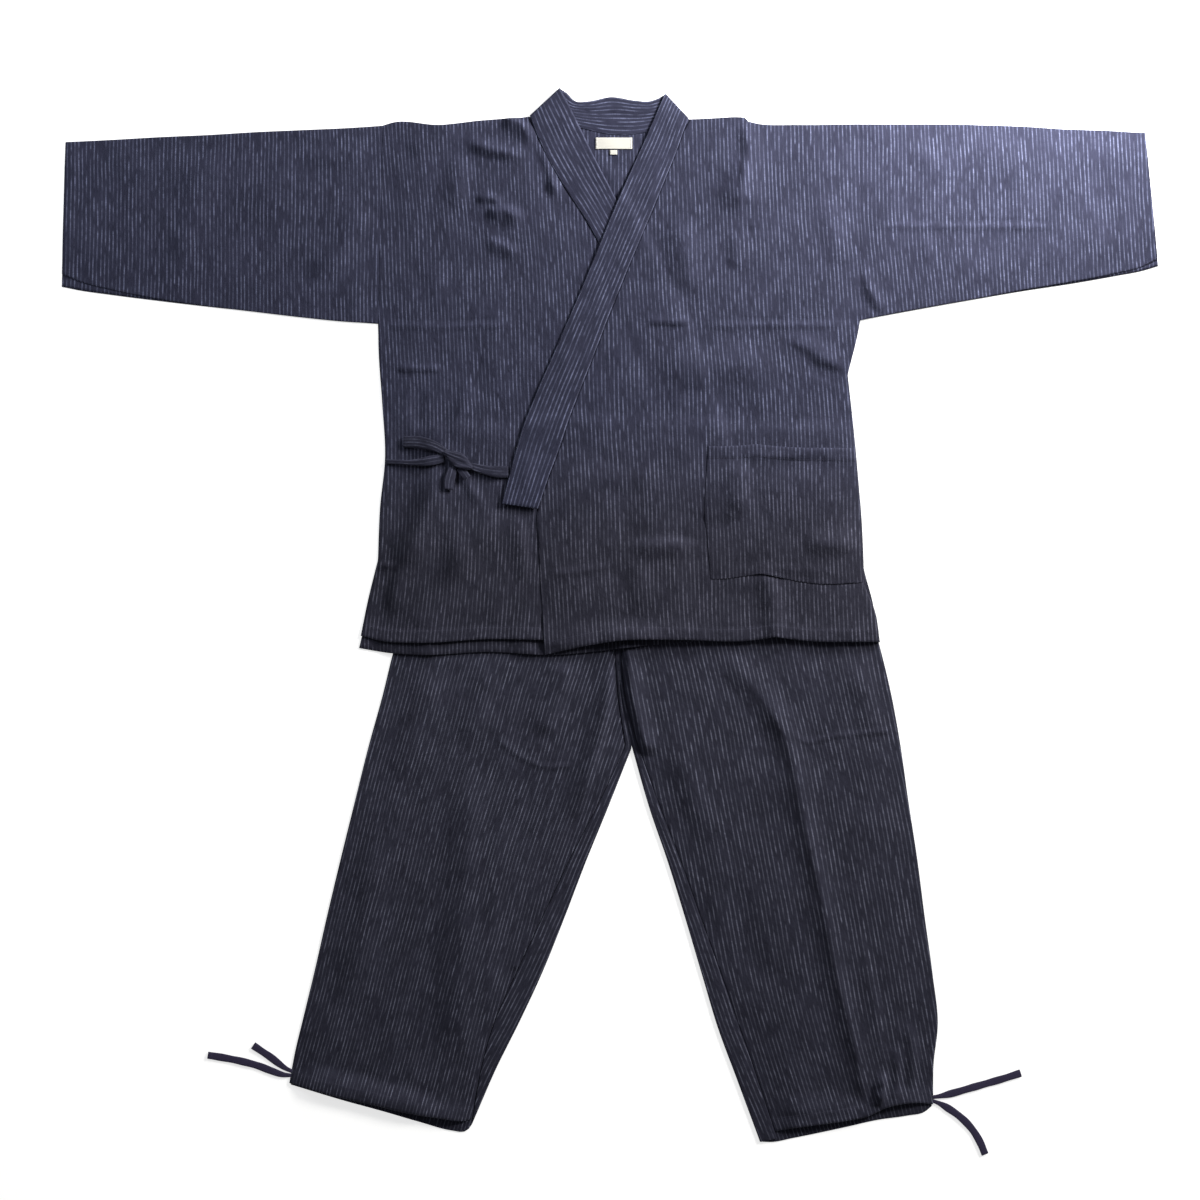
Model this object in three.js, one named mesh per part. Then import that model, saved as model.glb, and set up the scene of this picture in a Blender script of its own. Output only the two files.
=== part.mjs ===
// Samue: a Japanese work suit of jacket and trousers, laid out on a flat surface with its front up.
// Millimetres. +X points to the wearer's left, +Y to the neck and +Z up. The origin is the middle of
// the underside. Every panel is a closed cloth wall, and each one lies on the panels under it.
import * as THREE from 'three';

// ---------------------------------------------------------------- driving dimensions

const CLOTH = 1.5; // wall of one layer of cloth
const BAND = 2.6; // wall of the collar band, folded cloth round a stiffener
const GAP = 0.3; // air between pieces that are sewn or lie on each other
const SEAM = 0.4; // space between two edges that are sewn side by side
const LABEL = 0.8;
const PILE_CELL = 4; // pitch of the height map that the panels are laid on
const PILE_HALF = 800;

const SLEEVE_AIR = 1.6; // space inside a flattened sleeve
const LEG_AIR = 0.8; // how far a leg's front swells over its back
const FOLD_TURN = 1.6; // width of the turn at a folded edge
const WAIST_Y = 203; // top of the leg panels, where the waistband is sewn on
const WAISTBAND = 40;

const CLOTH_COLOURS = { indigo: 0x2d2e4b, label: 0xe9e9ea, tape: 0x34304f };

// Shoulder line, neck seam and hems, each as points [x, y] from the wearer's right to the left.
const RIGHT_SHOULDER = [[-318, 685], [-305, 689], [-238, 686], [-182, 692], [-111, 697]];
const LEFT_SHOULDER = [[109, 693], [188, 696], [195, 689], [266, 686], [350, 687]];
const BACK_HEM = [[-353, -46], [-311, -53], [-260, -56], [-168, -52], [-90, -56], [60, -42], [200, -31], [378, -36]];
const RIGHT_FRONT_HEM = [[-349, -29], [-322, -36], [-266, -39], [-168, -34], [-91, -35], [122, -35]];
const LEFT_FRONT_HEM = [[-91, -56], [-31, -43], [14, -36], [98, -35], [195, -36], [230, -31], [260, -35], [378, -38]];

// The collar, from the hidden end on the right front round the neck to the end on the left front.
// sx, sy: the edge that is sewn to the body. fx, fy: the free edge.
const COLLAR_RIGHT = [
  { sx: 129, sy: 148, fx: 179, fy: 155 },
  { sx: 103, sy: 228, fx: 151, fy: 247 },
  { sx: 76, sy: 306, fx: 124, fy: 325 },
  { sx: 48, sy: 382, fx: 96, fy: 401 },
  { sx: 14, sy: 458, fx: 60, fy: 480 },
  { sx: -20, sy: 529, fx: 24, fy: 553 },
  { sx: -40, sy: 563, fx: 3, fy: 593 },
  { sx: -62, sy: 596, fx: -17, fy: 631 },
  { sx: -86, sy: 637, fx: -37, fy: 672 },
  { sx: -104, sy: 676, fx: -57, fy: 713 },
];
const COLLAR_NECK = [
  { sx: -98, sy: 694.3, fx: -61, fy: 731 },
  { sx: -72, sy: 689, fx: -48, fy: 719 },
  { sx: -35, sy: 680, fx: -30, fy: 719 },
  { sx: 7, sy: 672, fx: 2, fy: 725 },
  { sx: 49, sy: 675, fx: 35, fy: 720 },
  { sx: 75, sy: 682, fx: 55, fy: 719 },
  { sx: 98, sy: 689.4, fx: 68, fy: 723 },
];
const COLLAR_LEFT = [
  { sx: 102, sy: 675, fx: 67, fy: 707 },
  { sx: 94, sy: 652, fx: 52, fy: 672 },
  { sx: 78, sy: 612, fx: 33, fy: 630 },
  { sx: 55, sy: 556, fx: 8, fy: 574 },
  { sx: 29, sy: 494, fx: -18, fy: 510 },
  { sx: 2, sy: 428, fx: -46, fy: 442 },
  { sx: -29, sy: 347, fx: -78, fy: 368 },
  { sx: -54, sy: 283, fx: -105, fy: 306 },
  { sx: -72, sy: 230, fx: -124, fy: 256 },
  { sx: -86, sy: 192, fx: -138, fy: 205 },
  { sx: -101, sy: 148, fx: -151, fy: 155 },
];
const COLLAR_FOLD_RIGHT = { sx: -111, sy: 697, fx: -69, fy: 736 };
const COLLAR_FOLD_LEFT = { sx: 109, sy: 693, fx: 76, fy: 728 };

// Side edges of the jacket, a row for each level. rx, ry: wearer's right. lx, ly: wearer's left.
const BACK_ROWS = [
  { rx: -318, ry: 685, lx: 350, ly: 687 },
  { rx: -319.1, ry: 640, lx: 350, ly: 640 },
  { rx: -320.4, ry: 590, lx: 350, ly: 590 },
  { rx: -321.6, ry: 540, lx: 350, ly: 540 },
  { rx: -323.2, ry: 480, lx: 350, ly: 480 },
  { rx: -324.9, ry: 410, lx: 350, ly: 410 },
  { rx: -323, ry: 340, lx: 333, ly: 338 },
  { rx: -318, ry: 280, lx: 339, ly: 280 },
  { rx: -315, ry: 222, lx: 345, ly: 222 },
  { rx: -322, ry: 160, lx: 351, ly: 160 },
  { rx: -325, ry: 77, lx: 356, ly: 70 },
  { rx: -339, ry: 15, lx: 370, ly: 15 },
  { rx: -353, ry: -46, lx: 378, ly: -36 },
];
const RIGHT_FRONT_SIDE = [
  { x: -318, y: 685 }, { x: -318.6, y: 661 }, { x: -319.5, y: 625 }, { x: -320.5, y: 585 }, { x: -321.4, y: 550 },
  { x: -322.3, y: 515 }, { x: -324.2, y: 440 }, { x: -324, y: 370 }, { x: -319, y: 296 }, { x: -315, y: 222 },
  { x: -322, y: 150 }, { x: -325, y: 77 }, { x: -339, y: 20 }, { x: -349, y: -29 },
];
const LEFT_FRONT_SIDE = [
  { x: 350, y: 687 }, { x: 350, y: 668 }, { x: 350, y: 648 }, { x: 350, y: 604 }, { x: 350, y: 550 },
  { x: 350, y: 488 }, { x: 350, y: 412 }, { x: 333, y: 336 }, { x: 339, y: 282 }, { x: 344, y: 233 },
  { x: 348, y: 187 }, { x: 352, y: 140 }, { x: 354.5, y: 92 }, { x: 356, y: 44 }, { x: 372, y: 2 },
  { x: 378, y: -38 },
];
const RIGHT_FRONT_EDGE = [{ x: 128, y: 88 }, { x: 125, y: 25 }, { x: 122, y: -35 }];
const LEFT_FRONT_EDGE = [{ x: -99, y: 95 }, { x: -97, y: 44 }, { x: -94, y: -5 }, { x: -91, y: -56 }];
const POCKET = { topRow: 9, bottomRow: 13, leftColumn: 6, edge: 2 }; // on the left front's own grid

// Sleeves, a row for each section from the armhole to the cuff. top: fold. low: edge of the upper
// layer. under: edge of the lower layer, which shows past the upper one where they differ.
const RIGHT_SLEEVE = [
  { x: -318.5, xl: -325.6, top: 685, low: 408, under: 406 },
  { x: -362, xl: -366, top: 682, low: 410, under: 409 },
  { x: -428, xl: -428, top: 679, low: 416, under: 415 },
  { x: -496, xl: -496, top: 676, low: 424, under: 423 },
  { x: -562, xl: -562, top: 672, low: 432, under: 430 },
  { x: -630, xl: -630, top: 669, low: 442, under: 438 },
  { x: -700, xl: -701, top: 665, low: 456, under: 447 },
  { x: -740, xl: -743, top: 663, low: 467, under: 453 },
  { x: -762, xl: -767.5, top: 662, low: 477, under: 458 },
];
const LEFT_SLEEVE = [
  { x: 350.6, xl: 350.6, top: 687, low: 412, under: 411 },
  { x: 392, xl: 392, top: 687, low: 421, under: 419 },
  { x: 452, xl: 452, top: 687, low: 432, under: 430 },
  { x: 512, xl: 514, top: 686, low: 443, under: 441 },
  { x: 574, xl: 578, top: 684, low: 455, under: 452 },
  { x: 638, xl: 644, top: 680, low: 466, under: 462 },
  { x: 696, xl: 707, top: 678, low: 478, under: 473 },
  { x: 728, xl: 744, top: 676, low: 487, under: 480 },
  { x: 749, xl: 767.5, top: 675, low: 498, under: 487 },
];

// Trouser legs, a row for each section from the waist to the hem. ox, oy: outer edge. ix, iy: inner
// edge. strip: how far the back wraps over the inner edge on to the front.
const RIGHT_LEG = [
  { ox: -235, oy: 203, ix: 47, iy: 203, strip: 5 },
  { ox: -258, oy: 110, ix: 44, iy: 110, strip: 5 },
  { ox: -283, oy: 20, ix: 41, iy: 20, strip: 5 },
  { ox: -303, oy: -50, ix: 38, iy: -50, strip: 5 },
  { ox: -319, oy: -115, ix: 35, iy: -115, strip: 6 },
  { ox: -337, oy: -180, ix: 31, iy: -184, strip: 9 },
  { ox: -359, oy: -268, ix: -4, iy: -270, strip: 16 },
  { ox: -378, oy: -345, ix: -34, iy: -346, strip: 24 },
  { ox: -397, oy: -425, ix: -65, iy: -427, strip: 31 },
  { ox: -414, oy: -500, ix: -98, iy: -508, strip: 37 },
  { ox: -429, oy: -562, ix: -128, iy: -572, strip: 38 },
  { ox: -441, oy: -612, ix: -158, iy: -632, strip: 30 },
  { ox: -449, oy: -655, ix: -187, iy: -690, strip: 14 },
];
const LEFT_LEG = [
  { ox: 322, oy: 203, ix: 49, iy: 203, strip: 5 },
  { ox: 340, oy: 110, ix: 46, iy: 110, strip: 5 },
  { ox: 359, oy: 20, ix: 43, iy: 20, strip: 5 },
  { ox: 378, oy: -45, ix: 40, iy: -50, strip: 5 },
  { ox: 394, oy: -112, ix: 37, iy: -115, strip: 8 },
  { ox: 406, oy: -178, ix: 34, iy: -184, strip: 12 },
  { ox: 418, oy: -262, ix: 55, iy: -270, strip: 15 },
  { ox: 430, oy: -340, ix: 81, iy: -346, strip: 18 },
  { ox: 441, oy: -425, ix: 106, iy: -427, strip: 22 },
  { ox: 452, oy: -505, ix: 130, iy: -508, strip: 27 },
  { ox: 457, oy: -566, ix: 150, iy: -575, strip: 30 },
  { ox: 458, oy: -628, ix: 178, iy: -651, strip: 28 },
  { ox: 451, oy: -687, ix: 210, iy: -736, strip: 24 },
];
// Hems from the outer edge to the inner one: how far each point lies below the straight line.
const RIGHT_BACK_HEM = [{ at: 0, drop: 2 }, { at: 0.35, drop: 20 }, { at: 0.7, drop: 33 }, { at: 0.92, drop: 36 }, { at: 1, drop: 12 }];
const RIGHT_LEG_FRONT_HEM = [{ at: 0, drop: 0 }, { at: 0.35, drop: 10 }, { at: 0.7, drop: 21 }, { at: 0.95, drop: 26 }, { at: 1, drop: 24 }];
const LEFT_BACK_HEM = [{ at: 0, drop: 0 }, { at: 0.3, drop: 8 }, { at: 0.6, drop: 8 }, { at: 0.9, drop: 7 }, { at: 1, drop: 2 }];
const LEFT_LEG_FRONT_HEM = [{ at: 0, drop: -3 }, { at: 0.3, drop: -14 }, { at: 0.5, drop: -9 }, { at: 0.9, drop: -4 }, { at: 1, drop: -4 }];

const STRAIGHT = [{ at: 0, drop: 0 }, { at: 1, drop: 0 }];

// The largest folds. x0, y0 to x1, y1: the crest. width: from crest to foot. rise: crest height.
const FOLDS = {
  jacket_front_right: [
    { x0: -100, y0: 650, x1: -60, y1: 560, width: 42, rise: 2.6 },
    { x0: -315, y0: 330, x1: -225, y1: 345, width: 34, rise: 2.2 },
    { x0: -180, y0: 200, x1: -300, y1: 70, width: 46, rise: 2.4 },
    { x0: -280, y0: 640, x1: -230, y1: 470, width: 48, rise: 1.8 },
  ],
  jacket_front_left: [
    { x0: 188, y0: 690, x1: 188, y1: 540, width: 40, rise: 2.6 },
    { x0: 335, y0: 350, x1: 255, y1: 380, width: 38, rise: 2.8 },
    { x0: 230, y0: -30, x1: 220, y1: 40, width: 44, rise: 2.4 },
    { x0: 60, y0: 405, x1: 330, y1: 410, width: 34, rise: 1.6 },
  ],
  sleeve_right: [
    { x0: -340, y0: 560, x1: -420, y1: 470, width: 46, rise: 2.2 },
    { x0: -560, y0: 640, x1: -600, y1: 480, width: 60, rise: 1.4 },
  ],
  sleeve_left: [
    { x0: 358, y0: 470, x1: 395, y1: 428, width: 40, rise: 2.6 },
    { x0: 380, y0: 551, x1: 640, y1: 548, width: 44, rise: 1.6 },
  ],
  leg_front_right: [
    { x0: 4, y0: -30, x1: -38, y1: -225, width: 40, rise: 2.8 },
    { x0: -200, y0: -420, x1: -250, y1: -640, width: 55, rise: 1.6 },
    { x0: -345, y0: -430, x1: -300, y1: -250, width: 50, rise: 1.6 },
  ],
  leg_front_left: [
    { x0: 200, y0: -60, x1: 262, y1: -290, width: 42, rise: 2.8 },
    { x0: 262, y0: -290, x1: 336, y1: -670, width: 38, rise: 2.8 },
    { x0: 345, y0: -600, x1: 372, y1: -690, width: 34, rise: 2.2 },
  ],
};

// Straps of the jacket's tie, each as points along its middle with the width there.
const STRAPS = {
  tie_side: [
    { x: -313, y: 216, width: 17 }, { x: -294, y: 214, width: 17 }, { x: -268, y: 214, width: 15 },
    { x: -246, y: 213, width: 12 }, { x: -227, y: 212, width: 9 },
  ],
  tie_front: [
    { x: -142, y: 205, width: 15 }, { x: -160, y: 203, width: 15 }, { x: -180, y: 206, width: 13 },
    { x: -204, y: 212, width: 9 },
  ],
  bow_end_long: [
    { x: -220, y: 204.5, width: 9 }, { x: -224, y: 195, width: 13 }, { x: -227, y: 184, width: 15 },
    { x: -227, y: 173, width: 15 },
  ],
  bow_end_short: [
    { x: -208, y: 204.5, width: 8 }, { x: -204, y: 197, width: 11 }, { x: -198, y: 188, width: 12 },
  ],
  bow_loop: [
    { x: -218, y: 221.5, width: 9 }, { x: -238, y: 233, width: 14 }, { x: -262, y: 241, width: 17 },
    { x: -288, y: 245, width: 15 },
  ],
};
const KNOT = { x: -215, y: 213, length: 28, width: 22, puff: 3.2 };

// Ends of the drawstrings in the leg hems: flat tape, points [x, y] from the hem to the free end.
const TAPE = { width: 10.5, thick: 1.8, sides: 8, pitch: 22, rise: 0.35 };
const DRAWSTRINGS = {
  drawstring_right_long: [
    [-447.8, -647.9], [-457, -646], [-474, -639], [-491, -631.5], [-514, -625], [-539, -620], [-563, -616],
  ],
  drawstring_right_short: [
    [-445.3, -633.9], [-453, -632], [-464, -626], [-475, -619], [-486, -611.5], [-497, -604],
  ],
  drawstring_left_long: [
    [453.1, -671], [462, -671.8], [479, -669.5], [503, -662.5], [526, -656], [550, -649], [575, -641],
  ],
  drawstring_left_short: [
    [451.7, -684.2], [460, -685.8], [475, -692], [492, -704], [507, -720], [518, -738], [525, -755],
  ],
};

// ---------------------------------------------------------------- shapes

const lerp = (a, b, t) => a + (b - a) * t;

// Height at x on a line of points [x, y].
function heightOn(line, x) {
  for (let k = 1; k < line.length; k += 1) {
    if (x <= line[k][0] || k === line.length - 1) {
      return lerp(line[k - 1][1], line[k][1], (x - line[k - 1][0]) / (line[k][0] - line[k - 1][0]));
    }
  }
  return line[0][1];
}

// Points between two ends on a line, spread evenly over each stretch between the stops.
function spread(stops, counts, line) {
  const points = [{ x: stops[0], y: heightOn(line, stops[0]) }];
  counts.forEach((count, k) => {
    for (let step = 1; step <= count; step += 1) {
      const x = lerp(stops[k], stops[k + 1], step / count);
      points.push({ x, y: heightOn(line, x) });
    }
  });
  return points;
}

// A grid between four edges: right and left go from the top down, top and bottom from right to left
// of the wearer. grid[row][column] = { x, y }.
function patch({ right, left, top, bottom }) {
  const rows = right.length - 1;
  const columns = top.length - 1;
  const blend = (axis, row, column) => {
    const u = column / columns;
    const v = row / rows;
    const across = lerp(right[row][axis], left[row][axis], u);
    const along = lerp(top[column][axis], bottom[column][axis], v);
    const upper = lerp(right[0][axis], left[0][axis], u);
    const lower = lerp(right[rows][axis], left[rows][axis], u);
    return across + along - lerp(upper, lower, v);
  };
  return right.map((_, row) => top.map((__, column) => ({ x: blend('x', row, column), y: blend('y', row, column) })));
}

// A closed wall between an outer and an inner grid of points. A ring wall joins its last column to
// its first.
function wall(outer, inner, ring = false) {
  const rows = outer.length;
  const columns = outer[0].length;
  const position = [outer, inner].flatMap((grid) => grid.flatMap((line) => line.flatMap((p) => [p.x, p.y, p.z])));
  const index = [];
  const at = (side, row, column) => side * rows * columns + row * columns + (column % columns);
  const quad = (a, b, c, d) => index.push(a, b, c, a, c, d);
  const spans = ring ? columns : columns - 1;
  for (let column = 0; column < spans; column += 1) {
    for (let row = 0; row < rows - 1; row += 1) {
      quad(at(0, row, column), at(0, row + 1, column), at(0, row + 1, column + 1), at(0, row, column + 1));
      quad(at(1, row, column), at(1, row, column + 1), at(1, row + 1, column + 1), at(1, row + 1, column));
    }
    quad(at(0, 0, column), at(0, 0, column + 1), at(1, 0, column + 1), at(1, 0, column));
    quad(at(0, rows - 1, column), at(1, rows - 1, column), at(1, rows - 1, column + 1), at(0, rows - 1, column + 1));
  }
  for (let row = 0; !ring && row < rows - 1; row += 1) {
    quad(at(0, row, 0), at(1, row, 0), at(1, row + 1, 0), at(0, row + 1, 0));
    quad(at(0, row, spans), at(0, row + 1, spans), at(1, row + 1, spans), at(1, row, spans));
  }
  const geometry = new THREE.BufferGeometry();
  geometry.setAttribute('position', new THREE.Float32BufferAttribute(position, 3));
  geometry.setIndex(facingOut(index, position));
  geometry.computeVertexNormals();
  return geometry;
}

// Turns the triangles over where they enclose a negative volume.
function facingOut(index, position) {
  const corner = (k) => new THREE.Vector3().fromArray(position, 3 * index[k]);
  let volume = 0;
  for (let k = 0; k < index.length; k += 3) {
    volume += corner(k).dot(corner(k + 1).cross(corner(k + 2)));
  }
  return volume > 0 ? index : index.reverse();
}

// ---------------------------------------------------------------- the pile of cloth

// Height map of each laid piece, by name: the highest point over each cell.
const pile = {};
const PILE_SIDE = (2 * PILE_HALF) / PILE_CELL;
const cellOf = (value) => THREE.MathUtils.clamp(Math.floor((value + PILE_HALF) / PILE_CELL), 0, PILE_SIDE - 1);

// Records the top of a piece, given as a grid of points.
function record(name, grid) {
  pile[name] ??= new Float32Array(PILE_SIDE * PILE_SIDE);
  const map = pile[name];
  for (let row = 1; row < grid.length; row += 1) {
    for (let column = 1; column < grid[0].length; column += 1) {
      const corners = [grid[row - 1][column - 1], grid[row - 1][column], grid[row][column - 1], grid[row][column]];
      stamp(map, corners[0], corners[1], corners[2]);
      stamp(map, corners[1], corners[3], corners[2]);
    }
  }
}

// Raises the map to the highest corner of a triangle over every cell that the triangle comes near.
function stamp(map, a, b, c) {
  const area = (b.x - a.x) * (c.y - a.y) - (c.x - a.x) * (b.y - a.y);
  const reach = PILE_CELL / Math.max(PILE_CELL, Math.sqrt(Math.abs(area)));
  const low = { x: cellOf(Math.min(a.x, b.x, c.x)), y: cellOf(Math.min(a.y, b.y, c.y)) };
  const high = { x: cellOf(Math.max(a.x, b.x, c.x)), y: cellOf(Math.max(a.y, b.y, c.y)) };
  for (let row = low.y; row <= high.y; row += 1) {
    for (let column = low.x; column <= high.x; column += 1) {
      const x = (column + 0.5) * PILE_CELL - PILE_HALF;
      const y = (row + 0.5) * PILE_CELL - PILE_HALF;
      const wb = ((x - a.x) * (c.y - a.y) - (c.x - a.x) * (y - a.y)) / area;
      const wc = ((b.x - a.x) * (y - a.y) - (x - a.x) * (b.y - a.y)) / area;
      if (Math.min(wb, wc, 1 - wb - wc) > -reach) {
        const key = row * PILE_SIDE + column;
        map[key] = Math.max(map[key], Math.min(Math.max(a.z, b.z, c.z), a.z + wb * (b.z - a.z) + wc * (c.z - a.z) + 0.1));
      }
    }
  }
}

// The highest point of the named pieces within the neighbours of one point of a grid.
function under(names, grid, row, column) {
  const box = new THREE.Box2();
  for (let r = Math.max(0, row - 1); r <= Math.min(grid.length - 1, row + 1); r += 1) {
    for (let c = Math.max(0, column - 1); c <= Math.min(grid[0].length - 1, column + 1); c += 1) {
      box.expandByPoint(new THREE.Vector2(grid[r][c].x, grid[r][c].y));
    }
  }
  let highest = 0;
  for (const name of names) {
    for (let y = cellOf(box.min.y); y <= cellOf(box.max.y); y += 1) {
      for (let x = cellOf(box.min.x); x <= cellOf(box.max.x); x += 1) {
        highest = Math.max(highest, pile[name][y * PILE_SIDE + x]);
      }
    }
  }
  return highest;
}

// Height of the folds of a piece at a point: each one a soft ridge that fades out at its ends.
function foldAt(name, x, y) {
  let rise = 0;
  for (const fold of FOLDS[name] ?? []) {
    const crest = new THREE.Line3(new THREE.Vector3(fold.x0, fold.y0), new THREE.Vector3(fold.x1, fold.y1));
    const near = crest.closestPointToPoint(new THREE.Vector3(x, y), true, new THREE.Vector3());
    const away = Math.hypot(near.x - x, near.y - y) / fold.width;
    rise = Math.max(rise, away < 1 ? fold.rise * (1 + Math.cos(Math.PI * away)) / 2 : 0);
  }
  return rise;
}

// Lays a grid on the named pieces and returns its underside. swell: extra height in mid-panel.
function lay(name, grid, over, swell = 0) {
  return grid.map((line, row) => line.map((p, column) => {
    const support = under(over, grid, row, column);
    const inside = Math.sin((Math.PI * column) / (line.length - 1)) * swell;
    return { x: p.x, y: p.y, z: (support > 0 ? support + GAP : 0) + inside + foldAt(name, p.x, p.y) };
  }));
}

const raise = (grid, height) => grid.map((line) => line.map((p) => ({ x: p.x, y: p.y, z: p.z + height })));

// ---------------------------------------------------------------- pieces

const suit = new THREE.Group();
const MATERIALS = {
  cloth: { color: CLOTH_COLOURS.indigo, roughness: 0.92, metalness: 0 },
  label: { color: CLOTH_COLOURS.label, roughness: 0.7, metalness: 0 },
  tape: { color: CLOTH_COLOURS.tape, roughness: 0.85, metalness: 0 },
};

function addPiece(name, geometry, kind = 'cloth') {
  const mesh = new THREE.Mesh(geometry, new THREE.MeshStandardMaterial(MATERIALS[kind]));
  mesh.name = name;
  suit.add(mesh);
}

// A panel of one layer, laid on the named pieces. Returns its top.
function addPanel(name, grid, over, { thick = CLOTH, swell = 0, kind = 'cloth' } = {}) {
  const underside = lay(name, grid, over, swell);
  const top = raise(underside, thick);
  record(name, top);
  addPiece(name, wall(top, underside), kind);
  return top;
}

// A flattened tube. Every section runs from its start to one end on the lower layer and one on the
// upper layer; its ring goes along the lower layer, round the turn and back along the upper layer.
function addTube(name, sections, steps, air) {
  const middle = CLOTH + air / 2;
  const ringOf = ({ start, lowerEnd, upperEnd }, inset, lowZ, highZ, turnInset) => {
    const walk = (end, z, rise) => Array.from({ length: steps + 1 }, (_, k) => {
      const length = start.distanceTo(end);
      const p = start.clone().lerp(end, lerp(inset, length - inset, k / steps) / length);
      return { x: p.x, y: p.y, z: z + rise * foldAt(name, p.x, p.y) * Math.sin((Math.PI * k) / steps) };
    });
    const length = start.distanceTo(lowerEnd);
    const turnAt = (distance) => ({ ...start.clone().lerp(lowerEnd, distance / length), z: middle });
    return [turnAt(turnInset), ...walk(lowerEnd, lowZ, 0), turnAt(length - turnInset), ...walk(upperEnd, highZ, 1).reverse()];
  };
  const outer = sections.map((section) => ringOf(section, FOLD_TURN, 0, 2 * middle, 0));
  const inner = sections.map((section) => ringOf(section, 2 * FOLD_TURN, CLOTH, 2 * middle - CLOTH, FOLD_TURN));
  record(name, outer.map((line) => [...line.slice(steps + 2), line[0]]));
  addPiece(name, wall(outer, inner, true));
}

// ---- Trousers

// Columns of a hem: the straight line between the ends, dropped by the hem's own table.
function hemLine(from, to, table, columns) {
  return Array.from({ length: columns + 1 }, (_, column) => {
    const t = column / columns;
    const drop = heightOn(table.map((row) => [row.at, row.drop]), t);
    return { x: lerp(from.x, to.x, t), y: lerp(from.y, to.y, t) - drop };
  });
}

// A point moved along its section from the inner edge towards the outer one.
function fromInner(row, distance) {
  const length = Math.hypot(row.ox - row.ix, row.oy - row.iy);
  return { x: lerp(row.ix, row.ox, distance / length), y: lerp(row.iy, row.oy, distance / length) };
}

// The back of a leg: a flat layer on the surface, which turns over the inner edge on to the front.
function addLegBack(name, rows, hem, columns) {
  const last = rows.length - 1;
  const outerEdge = rows.map((row) => ({ x: row.ox, y: row.oy }));
  const turnEdge = rows.map((row) => fromInner(row, FOLD_TURN));
  outerEdge[last].y -= hem[0].drop;
  turnEdge[last].y -= hem[hem.length - 1].drop;
  const flat = patch({
    right: outerEdge,
    left: turnEdge,
    top: hemLine(outerEdge[0], turnEdge[0], STRAIGHT, columns),
    bottom: hemLine({ x: rows[last].ox, y: rows[last].oy }, fromInner(rows[last], FOLD_TURN), hem, columns),
  });
  const topZ = 2 * CLOTH + GAP;
  const place = (p, z, down = 0) => ({ x: p.x, y: p.y - down, z });
  const outer = [];
  const inner = [];
  rows.forEach((row, k) => {
    const down = k === last ? hem[hem.length - 1].drop : 0;
    const stripAt = [FOLD_TURN, row.strip / 2, row.strip].map((d) => fromInner(row, d));
    const lower = flat[k];
    outer.push([
      ...lower.map((p) => place(p, 0)),
      place(fromInner(row, 0), topZ / 2, down),
      ...stripAt.map((p) => place(p, topZ, down)),
    ]);
    inner.push([
      ...lower.map((p) => place(p, CLOTH)),
      place(fromInner(row, FOLD_TURN * 0.75), topZ / 2, down),
      ...stripAt.map((p) => place(p, topZ - CLOTH, down)),
    ]);
  });
  record(name, inner.map((line) => line.slice(0, columns + 1)));
  record(name, outer.map((line) => line.slice(columns + 1)));
  addPiece(name, wall(outer, inner));
}

// The front of a leg: lies on the back and ends at the seam with the strip that wraps over.
function addLegFront(name, rows, hem, columns, backHem, over) {
  const last = rows.length - 1;
  const outerEdge = rows.map((row) => ({ x: row.ox, y: row.oy }));
  const seamEdge = rows.map((row) => fromInner(row, row.strip + SEAM));
  const stripHem = { x: seamEdge[last].x, y: seamEdge[last].y - backHem[backHem.length - 1].drop };
  const share = 0.55; // of the last section, where the front's hem crosses the seam
  const corner = { x: lerp(seamEdge[last - 1].x, stripHem.x, share), y: lerp(seamEdge[last - 1].y, stripHem.y, share) };
  const bottom = hemLine(outerEdge[last], seamEdge[last], hem, columns);
  const shift = { x: corner.x - bottom[columns].x, y: corner.y - bottom[columns].y };
  bottom[columns] = corner;
  bottom[columns - 1] = { x: bottom[columns - 1].x + shift.x / 2, y: bottom[columns - 1].y + shift.y / 2 };
  outerEdge[last] = bottom[0];
  seamEdge[last] = corner;
  const top = hemLine(outerEdge[0], seamEdge[0], STRAIGHT, columns);
  addPanel(name, patch({ right: outerEdge, left: seamEdge, top, bottom }), over, { swell: LEG_AIR });
}

function addTrousers() {
  addLegBack('leg_back_right', RIGHT_LEG, RIGHT_BACK_HEM, 10);
  addLegBack('leg_back_left', LEFT_LEG, LEFT_BACK_HEM, 10);
  addLegFront('leg_front_right', RIGHT_LEG, RIGHT_LEG_FRONT_HEM, 11, RIGHT_BACK_HEM, ['leg_back_right']);
  addLegFront('leg_front_left', LEFT_LEG, LEFT_LEG_FRONT_HEM, 11, LEFT_BACK_HEM, ['leg_back_left']);
  const low = WAIST_Y + SEAM;
  const sections = [low, low + WAISTBAND / 2, low + WAISTBAND].map((y) => {
    const end = new THREE.Vector2(LEFT_LEG[0].ox, y);
    return { start: new THREE.Vector2(RIGHT_LEG[0].ox, y), lowerEnd: end, upperEnd: end };
  });
  addTube('waistband', sections, 10, GAP);
}

// ---- Jacket

function addBack(over) {
  const neck = [COLLAR_FOLD_RIGHT, ...COLLAR_NECK.slice(1, 6), COLLAR_FOLD_LEFT];
  const neckline = neck.map((row) => ({ x: row.sx, y: row.sy - SEAM }));
  const top = [
    ...spread([-318, -111], [4], RIGHT_SHOULDER).slice(0, -1),
    ...neckline,
    ...spread([109, 350], [4], LEFT_SHOULDER).slice(1),
  ];
  const bottom = spread([-353, -121, 120, 378], [4, 6, 4], BACK_HEM);
  const right = BACK_ROWS.map((row) => ({ x: row.rx, y: row.ry }));
  const left = BACK_ROWS.map((row) => ({ x: row.lx, y: row.ly }));
  addPanel('jacket_back', patch({ right, left, top, bottom }), over);
}

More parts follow.
